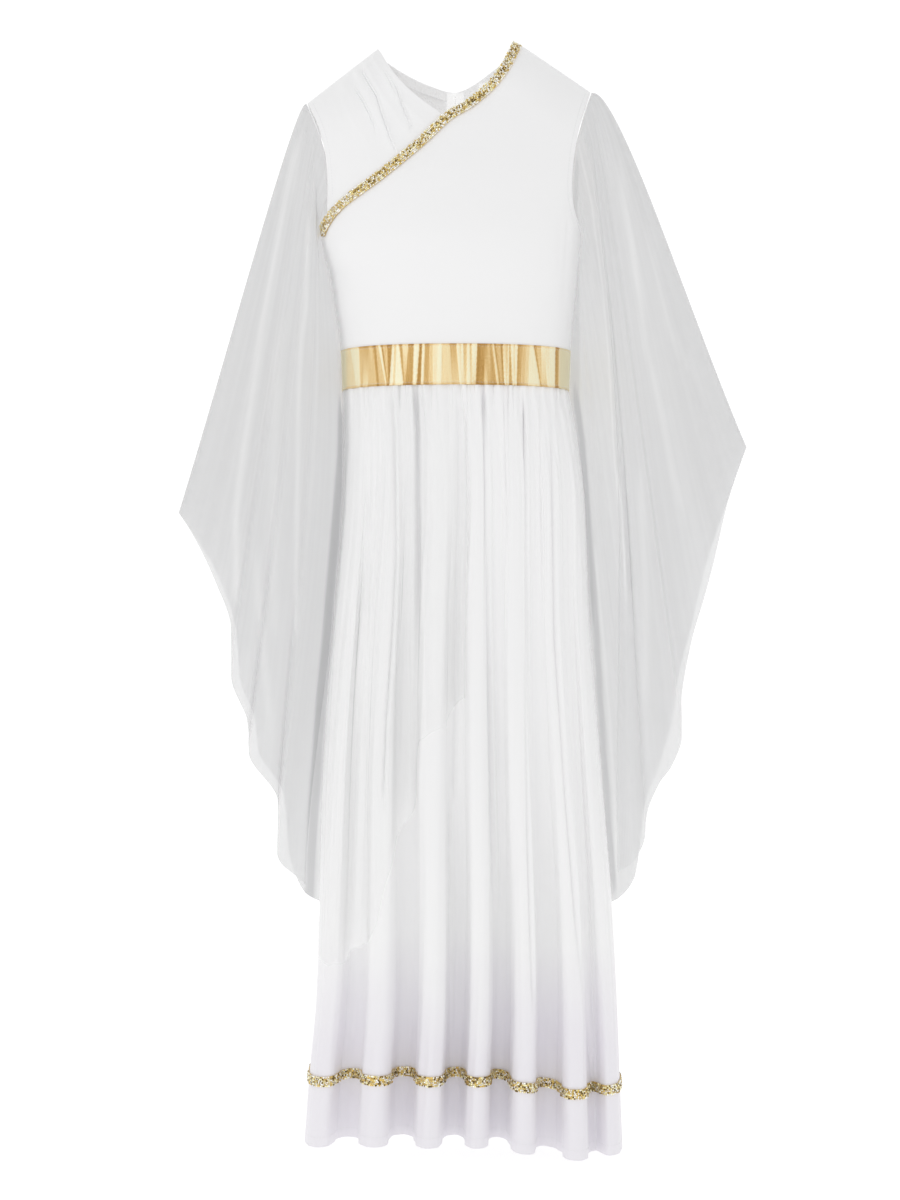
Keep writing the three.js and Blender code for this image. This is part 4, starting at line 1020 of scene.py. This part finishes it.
drops = np.concatenate([np.linspace(0, 0.12, count(18), endpoint=False), np.linspace(0.12, 1, count(60))])
drops = drops[:, None]
fold = np.linspace(0, len(FRONT_FOLDS) - 1, count(590) + 1)[None]
grid, normals, trough = on_skirt("front", fold, drops, 0.0)
dress(shell("skirt_front_cloth", grid, SATIN, satin, {"trough": trough}, hangs=True), "satin", "skirt_front")
for hand, start, end, shift in (("left", 0, CENTRE_BACK_FOLD, -1), ("right", CENTRE_BACK_FOLD, 12, 1)):
    fold = np.linspace(start, end, count(220) + 1)[None]
    grid, normals, trough = on_skirt("back", fold, drops, 0.0)
    ramp = np.linspace(0, 1, grid.shape[1])
    grid[..., 0] += shift * 0.5 * SEAM_GAP * (ramp if hand == "left" else 1 - ramp)
    dress(shell(f"skirt_back_cloth_{hand}", grid, SATIN, satin, {"trough": trough}, hangs=True), "satin",
          f"skirt_back_{hand}")

# Overlay with its cascade edge, laid on the skirt's own folds

OVERLAY_RIDGES = [
    ([(424, 398), (424, 560), (427, 640), (428, 735)], 3.4, -2.4, 0.0),
    ([(411, 400), (410, 560), (411, 700), (412, 800)], 2.6, -1.4, 0.0),
    ([(464, 396), (465, 560), (465, 702)], 2.0, -1.2, 0.0),
    ([(399, 420), (400, 560), (397, 680)], 2.6, -1.4, 0.0),
    ([(440, 430), (442, 600), (441, 720)], 5.0, -1.2, 0.0),
    ([(362, 480), (360, 700), (356, 900)], 5.0, -1.4, 0.0),
    ([(337, 560), (333, 780), (330, 940)], 4.0, -1.2, 0.0),
]


def overlay_points():
    columns, down = count(260), count(84)
    fold = np.linspace(0, OVERLAY_FOLDS, columns + 1)[None]
    v = np.linspace(0, 1, down + 1)[:, None]
    top = WAIST_BOTTOM - SEAM_GAP / 2
    skirt_hem = skirt_middle(FRONT_FOLDS, fold, 1.0, "front")[..., 2]
    ragged = 2.5 * np.sin(fold * 11.3) + 1.5 * np.sin(fold * 23)
    drop = v * (top - overlay_edge(fold) - ragged * 0.5) / (top - skirt_hem)
    out = SATIN / 2 + LAY_GAP + 0.4 + CHIFFON / 2

    def ridges(x, z):
        return np.maximum(0, crease_height(x, z, OVERLAY_RIDGES)) * smooth(v * 20)

    return on_skirt("front", fold, drop, out, ridges)[0]


def light_between(grid):
    """Light is held between the layers where the overlay hides a valley, more towards its foot."""
    behind = grid[..., 1] - grid[..., 1].min(1, keepdims=True)
    fold = np.linspace(0, OVERLAY_FOLDS, grid.shape[1])[None]
    glow = smooth((behind - 8) / 45) * np.linspace(0, 1, len(grid))[:, None]
    return glow * smooth((fold - 1.0) / 0.8)


grid = overlay_points()
values = {"glow": light_between(grid)}
dress(shell("overlay_cloth", grid, SHEER, overlay_cloth, values, hangs=True), "chiffon", "overlay_drape")

# Sleeves

def sleeve_middle(hand, seam, v):
    """A sleeve's middle surface: seam runs along the armhole and the hem, v down the cloth."""
    stations = SLEEVES[hand]
    front_end, clearance, tuck, bulge = HANG[hand]
    column = [curve(stations[:, 0], stations[:, k]) for k in range(1, 5)]
    outer = stations[np.argmax(np.abs(stations[:, 1])), 0]
    outward = -1 if hand == "left" else 1
    on_front = seam < outer
    upward = np.where(on_front, mix(front_end, 1, seam / outer), mix(1, 0.12, (seam - outer) / (1 - outer)))
    top = armholes[hand](upward)
    x, z = top[..., 0], top[..., 1]
    y = np.where(on_front, -body_depth(x, z, "front"), body_depth(x, z, "back"))
    start = np.stack([x + outward * SLEEVE_SEAM_GAP, y, z], -1)
    hem = np.stack([column[0](seam), column[1](seam), column[2](seam)], -1)
    place = start + (hem - start) * v[..., None]
    from_outer = (seam - outer) / 0.15
    place[..., 0] += column[3](seam) * v**1.2 * (1 - v) ** 1.8
    place[..., 0] += outward * bulge * np.exp(-from_outer**2) * v**0.35 * (1 - v) ** 1.6
    beside = np.clip(1.2 - seam / 0.3, 0, 1) * np.clip(v / 0.04, 0, 1) * (1 - v)
    place[..., 0] += outward * clearance * beside
    place[..., 1] += tuck * beside
    from_fold = np.clip(np.abs(seam - outer) / 0.12, 0, 1)
    ripple = SLEEVE_RIPPLE * from_fold * np.sin(2 * math.pi * SLEEVE_RIPPLES * seam + 0.6)
    place[..., 1] += ripple * v * v * (1.6 - 0.6 * v)
    return place, from_fold


def sleeve_points(hand, seed):
    columns, down = count(260), count(80)
    seam, v = np.meshgrid(np.linspace(0, 1, columns + 1), np.linspace(0, 1, down + 1) ** 1.4)
    place, from_fold = sleeve_middle(hand, seam, v)
    random = np.random.default_rng(seed)
    fine = np.zeros_like(seam)
    for _ in range(16):
        at, width = random.uniform(0.02, 0.98), random.uniform(0.012, 0.03)
        lean = random.uniform(-0.03, 0.03)
        deep = random.uniform(-0.8, 0.8)
        begin = random.uniform(-0.2, 0.3)
        fine += deep * smooth((v - begin) * 3) * np.exp(-((seam - at - lean * v) / width) ** 2)
    gather = np.zeros_like(seam)
    for _ in range(40):
        at, width = random.uniform(0.02, 0.98), random.uniform(0.004, 0.01)
        gather += random.uniform(-0.6, 0.6) * np.exp(-((seam - at) / width) ** 2)
    fine += gather * smooth(v * 30) * smooth(1 - v * 4)
    normal = grid_normals(place)
    edge = smooth(np.minimum(seam, 1 - seam) * 40)
    clear = smooth(v * 10) * edge
    return place + normal * (fine * clear * (0.3 + 0.7 * from_fold))[..., None]


SLEEVE_LIGHT = [  # lit lines: picture places from top to bottom, width in millimetres, strength
    ([
        (295, 150), (285, 202), (272, 275), (262, 331), (253, 391), (243, 456), (236, 511), (236, 600),
    ], 4.5, 0.5),
    ([(308, 225), (306, 314), (301, 348), (299, 391), (298, 455), (297, 511), (296, 640)], 3.2, 0.45),
    ([(282, 330), (277, 361), (275, 430), (273, 520), (275, 640)], 6.0, 0.22),
    ([(301, 130), (297, 170), (294, 220)], 5.0, 0.2),
    ([(255, 560), (262, 640), (270, 730)], 5.0, 0.3),
    ([(620, 170), (633, 250), (645, 348), (663, 421), (673, 477), (684, 516)], 4.5, 0.3),
    ([(606, 150), (626, 230), (640, 300)], 6.0, 0.2),
    ([(648, 230), (667, 326), (697, 382)], 6.0, 0.2),
    ([(579, 137), (592, 197), (603, 283), (609, 350), (615, 455), (622, 520), (626, 600)], 1.5, 0.6),
    ([(595, 540), (604, 640), (609, 700), (614, 780), (618, 870)], 2.0, 0.5),
    ([(640, 480), (645, 580), (646, 700)], 5.0, 0.3),
]
SLEEVE_SHADE = [  # lines in the body's shadow, as above
    ([(574, 240), (575, 330), (575, 390), (581, 450), (586, 520), (590, 620)], 6.5, 0.4),
    ([(575, 380), (582, 430), (589, 520), (595, 600), (601, 700), (608, 800), (614, 880)], 4.4, 0.75),
    ([(596, 230), (605, 290), (612, 350), (618, 455), (626, 520), (630, 600)], 4.0, 0.14),
    ([(577, 150), (575, 200), (578, 235)], 3.0, 0.4),
    ([
        (343, 400), (342, 460), (337, 520), (330, 600), (327, 640), (321, 700), (317, 760), (313, 810),
        (309, 900),
    ], 6.5, 0.85),
]


def along_lines(points, lines, crisp=0.0):
    """Strength of the lines at each point, as the camera sees them; crisp sharpens their edges."""
    total = np.zeros(points.shape[:2])
    seen = points * (CAMERA_DISTANCE / (CAMERA_DISTANCE + points[..., 1:2]))
    for places, width, strength in lines:
        near = -crease_height(seen[..., 0], seen[..., 2], [(places, width, 1.0, 0.0)], 0.0)
        total += strength * mix(near, smooth(2.2 * near - 0.5), crisp)
    return np.clip(total, 0, 1)


for hand, seed in (("left", 61), ("right", 62)):
    grid = sleeve_points(hand, seed)
    values = {"shine": along_lines(grid, SLEEVE_LIGHT), "shade": along_lines(grid, SLEEVE_SHADE, 0.8)}
    sleeve = shell(f"drape_sleeve_{hand}", grid, SHEER, chiffon, values, hangs=True)
    dress(sleeve, "chiffon", f"sleeve_{hand}")

# Gold braids, a woven ground and rows of small tilted sequins

SEQUIN_ROWS = (-5.2, -3.1, -1.0, 1.0, 3.1, 5.2)
# painted reflections that the sequins draw from at random
SEQUIN_PAINTED_REFLECTIONS = [0.0, 0.35, 0.65, 1.0]
SEQUIN_TILT = 0.38
SEQUIN_CUP = 0.35


def sequins(name, rows, radius, seed, painted_reflections=None):
    """Small cupped six-sided discs, each turned a little its own way; a row is centres and normals."""
    centres, normals = (np.vstack(part) for part in zip(*rows))
    random = np.random.default_rng(seed)
    n = len(centres)
    normal = unit(normals + random.normal(0, SEQUIN_TILT, (n, 3)))
    helper = np.where(np.abs(normal[:, 2:3]) < 0.9, [[0.0, 0, 1]], [[1.0, 0, 0]])
    a = unit(np.cross(normal, helper))
    b = np.cross(normal, a)
    size = radius * random.uniform(0.8, 1.15, (n, 1))
    spin = random.uniform(0, math.pi, n)
    verts = [centres + normal * size * SEQUIN_CUP]
    for k in range(6):
        angle = spin + k * math.pi / 3
        verts.append(centres + size * (a * np.cos(angle)[:, None] + b * np.sin(angle)[:, None]))
    verts = np.stack(verts, 1).reshape(-1, 3) * MM
    faces = np.array([(0, 1 + k, 1 + (k + 1) % 6) for k in range(6)])
    faces = (faces[None] + 7 * np.arange(n)[:, None, None]).reshape(-1, 3)
    # each sequin takes a painted reflection, dark to a near-white glint, drawn at random unless given
    if painted_reflections is None:
        painted_reflections = random.choice(SEQUIN_PAINTED_REFLECTIONS, n, p=[0.2, 0.2, 0.28, 0.32])
    dress(make_mesh(name, verts, faces, gold, None, {"painted_reflection": np.repeat(painted_reflections, 7)}, smooth_angle=20), "braid")


def evenly(points, spacing):
    """Places from 0 to 1 along a line of points, a fixed distance apart."""
    along = lengths_along(points)
    wanted = np.arange(spacing / 2, along[-1], spacing)
    return np.interp(wanted, along, np.linspace(0, 1, len(points)))


def slant_place(t):
    along = mix(0.02, 0.975, t)
    ahead = unit(slant(np.minimum(along + 0.01, 1)) - slant(np.maximum(along - 0.01, 0)))
    return slant(along), ahead


def slant_grid(t, offset, out):
    place, ahead = slant_place(t)
    x, z = place[..., 0] - ahead[..., 1] * offset, place[..., 1] + ahead[..., 0] * offset
    return body_point(x, z, "front", out)


SLANT_OUT = SATIN / 2 + 2 * LAY_GAP + BRAID / 2
slant_offsets = np.linspace(-0.5, 0.5, 9) * BRAID_WIDTH
t_grid, offset_grid = np.meshgrid(np.linspace(0, 1, count(220)), slant_offsets)
slant_band = slant_grid(t_grid, offset_grid, SLANT_OUT + 0.3 * np.cos(offset_grid * 1.57))[0]
dress(shell("slant_braid_ground", slant_band, BRAID, braid_ground), "braid", "slant_braid")
sequin_rows, painted_reflections = [], []
slant_line = slant_grid(np.linspace(0, 1, 600), 0.0, SLANT_OUT)[0]
for row, offset in enumerate(SEQUIN_ROWS):
    t = evenly(slant_line, 1.9) + (0.0028 if row % 2 else 0)
    sequin_rows.append(slant_grid(t, offset, SLANT_OUT + BRAID / 2 + 0.45))
    pale = smooth((0.24 - t) / 0.12)
    # each sequin's painted reflection, paler towards the slant's left end and along the outer rows
    draw = rng.choice(SEQUIN_PAINTED_REFLECTIONS, len(t), p=[0.22, 0.18, 0.25, 0.35])
    painted_reflections.append(np.clip(draw + 0.22 * pale + 0.16 * (abs(offset) - 1.4) / 2, 0, 1))
sequins("slant_sequins", sequin_rows, 1.15, 71, np.concatenate(painted_reflections))


def hem_band(side, fold, offset, out):
    """Points and normals of the line at the hem braid, offset millimetres above its middle."""
    height = HEM_BRAID_HEIGHT + offset
    length = WAIST_BOTTOM - skirt_middle(SKIRT_SIDES[side][0], fold, 1.0, side)[..., 2]
    return on_skirt(side, fold, 1 - height / length, out)[:2]


HEM_OUT = SATIN / 2 + LAY_GAP + BRAID / 2
for side in SKIRT_SIDES:
    last = len(SKIRT_SIDES[side][0]) - 1
    offsets = np.linspace(0.5, -0.5, 7) * BRAID_WIDTH
    fold_grid, offset_grid = np.meshgrid(np.linspace(0, last, count(420)), offsets)
    band = hem_band(side, fold_grid, offset_grid, HEM_OUT)[0]
    dress(shell(f"hem_braid_ground_{side}", band, BRAID, braid_ground), "braid", f"hem_braid_{side}")
    line = hem_band(side, np.linspace(0, last, 3000), 0.0, HEM_OUT)[0]
    sequin_rows = []
    for row, offset in enumerate(SEQUIN_ROWS):
        fold = np.clip(evenly(line, 2.1) + (0.0007 if row % 2 else 0), 0, 1) * last
        sequin_rows.append(hem_band(side, fold, offset, HEM_OUT + BRAID / 2 + 0.4))
    sequins(f"hem_sequins_{side}", sequin_rows, 1.2, 72 + len(side))

# Back neck with its facing, label and zip

FROM_ZIP = 12.5
FACING_DEPTH = 11
TAPE_IN = 2.4
TAPE_SETTLE = 2.5
TAPE_WIDTH = 11
TOOTH_SPACING = 2.4
FACINGS = (("left", -68, CENTRE_BACK_X - FROM_ZIP), ("right", CENTRE_BACK_X + FROM_ZIP, 66))
for hand, low, high in FACINGS:
    u, v = np.meshgrid(np.linspace(neck_share(low), neck_share(high), 60), np.linspace(0, 1, 10))
    place = back_neck(u)
    z = place[..., 1] - 0.6 - FACING_DEPTH * v
    grid = body_point(place[..., 0], z, "back", -2.4 + 0.25 * np.sin(u * 90))[0]
    dress(shell(f"back_facing_{hand}", grid, 1.1, facing_satin), "satin", f"neck_facing_{hand}")

u, v = np.meshgrid(np.linspace(0, 1, 24), np.linspace(0, 1, 30))
bow = -3.8 - 0.5 * np.sin(math.pi * u) * v - 0.25 * np.sin(9 * v + 2 * u)
label = body_point(mix(38, 56, u), mix(8, -23, v), "back", bow)[0]
dress(shell("blank_label", label, 0.5, ribbon), "label", "neck_label")


def centre_back_depth(z):
    length = WAIST_BOTTOM - float(skirt_middle(BACK_FOLDS, CENTRE_BACK_FOLD, 1.0, "back")[..., 2])
    drop = np.clip((WAIST_BOTTOM - z) / length, 0, 1)
    below = skirt_middle(BACK_FOLDS, CENTRE_BACK_FOLD, drop, "back")[..., 1]
    return np.where(z > WAIST_BOTTOM, body_depth(np.full_like(z, CENTRE_BACK_X), z, "back"), below)


def tape_settle(z):
    """The tapes sink a little into the cloth below the waist."""
    return TAPE_SETTLE * np.clip((WAIST_TOP - z) / 60, 0, 1)


for hand, facing in (("left", -1), ("right", 1)):
    u, v = np.meshgrid(np.linspace(0, 1, 12), np.linspace(0, 1, count(160)))
    z = mix(NECK_FOOT - 1.5, ZIP_END, v)
    x = CENTRE_BACK_X + facing * mix(0.4, TAPE_WIDTH, u)
    y = centre_back_depth(z) - TAPE_IN - tape_settle(z) - 0.2 * np.sin(z * 0.11 + u * 3) * u
    grid = np.stack([x, y, z], -1)
    dress(shell(f"zip_tape_weave_{hand}", grid, 0.7, tape), "tape", f"zip_tape_{hand}")


def blocks(name, centres, sizes, axes, material):
    """Small oriented blocks with clipped corners and tapered ends: sizes and axes are given for each."""
    n = len(centres)
    ring = np.array([(-1, 0), (-0.6, -1), (0.6, -1), (1, 0), (0.6, 1), (-0.6, 1)]) / 2
    verts = []
    for end, grow in ((-0.5, 0.7), (0.0, 1.0), (0.5, 0.7)):
        for a, b in ring * grow:
            flat = centres + axes[0] * (sizes[:, :1] * end) + axes[1] * (sizes[:, 1:2] * a)
            verts.append(flat + axes[2] * (sizes[:, 2:] * b))
    verts = np.stack(verts, 1).reshape(-1, 3) * MM
    faces = []
    for level in range(2):
        for k in range(6):
            a, b = level * 6 + k, level * 6 + (k + 1) % 6
            faces.append((a, b, b + 6, a + 6))
    faces += [(3, 2, 1, 0), (5, 4, 3, 0), (12, 13, 14, 15), (12, 15, 16, 17)]
    faces = (np.array(faces)[None] + 18 * np.arange(n)[:, None, None]).reshape(-1, 4)
    return make_mesh(name, verts, faces, material, smooth_angle=50)


tooth_z = np.arange(NECK_FOOT - 3.5, ZIP_END, -TOOTH_SPACING)
tooth_side = np.where(np.arange(len(tooth_z)) % 2 == 0, -1.0, 1.0)
tooth_y = centre_back_depth(tooth_z) - TAPE_IN - 0.2 - tape_settle(tooth_z)
teeth = np.stack([CENTRE_BACK_X + tooth_side * 0.9, tooth_y, tooth_z], -1)
flat_axes = [np.tile(a, (len(teeth), 1)) for a in ([1.0, 0, 0], [0, 1.0, 0], [0, 0, 1.0])]
dress(blocks("zip_teeth", teeth, np.tile([3.0, 1.5, 1.3], (len(teeth), 1)), flat_axes, tape), "tape")


def bevelled(name, node, width, body_name):
    """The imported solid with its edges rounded."""
    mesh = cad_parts[node].data.copy()
    mesh.materials.clear()
    mesh.materials.append(enamel)
    obj = bpy.data.objects.new(name, mesh)
    scene.collection.objects.link(obj)
    weld = obj.modifiers.new("weld", "WELD")
    weld.merge_threshold = 0.00001
    bevel = obj.modifiers.new("bevel", "BEVEL")
    bevel.width = width
    bevel.segments = 3
    bevel.limit_method = "ANGLE"
    bevel.angle_limit = math.radians(40)
    bpy.context.view_layer.update()
    baked = bpy.data.meshes.new_from_object(obj.evaluated_get(bpy.context.evaluated_depsgraph_get()))
    obj.modifiers.clear()
    obj.data = baked
    baked.polygons.foreach_set("use_smooth", np.ones(len(baked.polygons), bool))
    baked.set_sharp_from_angle(angle=math.radians(35))
    return dress(obj, "zip_metal", node, body_name=body_name)


bevelled("slider_enamel", "zip_slider", 0.00025, "dress")
bevelled("tab_enamel", "pull_tab", 0.0002, "tab")

# Stitching

def stitches(name, points, normals, spacing=3.6, length=2.4, thick=0.42):
    """A row of short stitches along a line on the cloth."""
    along = lengths_along(points)
    wanted = np.arange(spacing, along[-1] - spacing / 2, spacing)
    at = np.stack([np.interp(wanted, along, points[:, k]) for k in range(3)], -1)
    ahead = np.stack([np.interp(wanted + 0.5, along, points[:, k]) for k in range(3)], -1)
    up = unit(np.stack([np.interp(wanted, along, normals[:, k]) for k in range(3)], -1))
    forward = unit(ahead - at)
    side = unit(np.cross(up, forward))
    up = np.cross(forward, side)
    sizes = np.tile([length, thick, thick * 0.8], (len(at), 1))
    dress(blocks(name, at + up * 0.12, sizes, [forward, side, up], thread), "satin")


def edge_stitches(name, line, side, inset):
    """Stitches beside an edge on the body; a negative inset is to the other side of the line."""
    ahead = unit(np.gradient(line, axis=0))
    place = line + np.stack([ahead[:, 1], -ahead[:, 0]], -1) * inset
    stitches(name, *body_point(place[:, 0], place[:, 1], side, SATIN / 2))


for hand, inset in (("left", 5.5), ("right", -5.5)):
    line = armholes[hand](np.linspace(0.06, 0.97, 260))
    for side in ("front", "back"):
        edge_stitches(f"armhole_stitches_{hand}_{side}", line, side, inset)
edge_stitches("back_neck_stitches", back_neck(np.linspace(0.05, 0.95, 200)), "back", 4.0)
edge_stitches("front_neck_stitches", path(FRONT_NECK)(np.linspace(0.06, 0.95, 160)), "front", 4.0)
for side in SKIRT_SIDES:
    fold = np.linspace(0.06, len(SKIRT_SIDES[side][0]) - 1.06, 2600)
    line = hem_band(side, fold, 12.0 - HEM_BRAID_HEIGHT, SATIN / 2)
    stitches(f"hem_stitches_{side}", *line, 4.2, 2.6)
for side in ("front", "back"):
    for level, name in ((WAIST_TOP - 3.0, "top"), (WAIST_BOTTOM + 3.0, "foot")):
        angle = np.linspace(-1.45, 1.45, 400)
        z = np.full(len(angle), level)
        line = body_point(across_body(z, angle), z, side, BELT_OUT + 1.15)
        stitches(f"belt_stitches_{side}_{name}", *line, 3.4, 2.2, 0.35)

# Floor, backdrop and light

STUDIO_GREY = (0.34, 0.34, 0.34, 1)
STUDIO_PALE = (0.36, 0.36, 0.36, 1)
stage_look = Look("studio_white", Roughness=0.9, Specular_IOR_Level=0.1, Emission_Color=(1, 1, 1, 1),
                  Emission_Strength=0.78)
stage_look.set("Base Color", stage_look.mix(stage_look.noise(1.5, uv=False), STUDIO_GREY, STUDIO_PALE))

FLOOR = -1.346
FLOOR_FRONT, FLOOR_BACK = -3.6, 5.2
COVE = 1.0
COVE_STEPS = 12
WALL_TOP = 7.9
WALL_HALF_WIDTH = 9.7
profile = [(FLOOR_FRONT, FLOOR), (FLOOR_BACK, FLOOR)]
for k in range(1, COVE_STEPS + 1):
    angle = k / COVE_STEPS * math.pi / 2
    profile.append((FLOOR_BACK + COVE * math.sin(angle), FLOOR + COVE - COVE * math.cos(angle)))
profile.append((FLOOR_BACK + COVE, WALL_TOP))
verts = [(x, y, z) for y, z in profile for x in (-WALL_HALF_WIDTH, WALL_HALF_WIDTH)]
faces = [(2 * k, 2 * k + 1, 2 * k + 3, 2 * k + 2) for k in range(len(profile) - 1)]
backdrop = make_mesh("backdrop", np.array(verts), np.array(faces), stage_look.material)


def soft_light(name, place, target, size, power):
    data = bpy.data.lights.new(name, "AREA")
    data.shape = "DISK"
    data.size = size
    data.energy = power
    light = bpy.data.objects.new(name, data)
    light.location = place
    x, y, z = np.array(target) - np.array(place)
    light.rotation_euler = (math.acos(-z / math.hypot(x, y, z)), 0, math.atan2(y, x) - math.pi / 2)
    scene.collection.objects.link(light)


soft_light("key", (-1.8, -3.0, 0.6), (0, 0, -0.8), 1.4, 7)
soft_light("back_left", (-2.4, 2.4, 1.6), (0, 0, -0.6), 1.4, 2.5)
soft_light("top", (0.1, -1.1, 1.3), (0, 0.1, -0.05), 0.8, 1.5)
world = bpy.data.worlds.new("studio")
world.use_nodes = True
world.node_tree.nodes["Background"].inputs[0].default_value = (1, 1, 1, 1)
world.node_tree.nodes["Background"].inputs[1].default_value = 0.755
scene.world = world
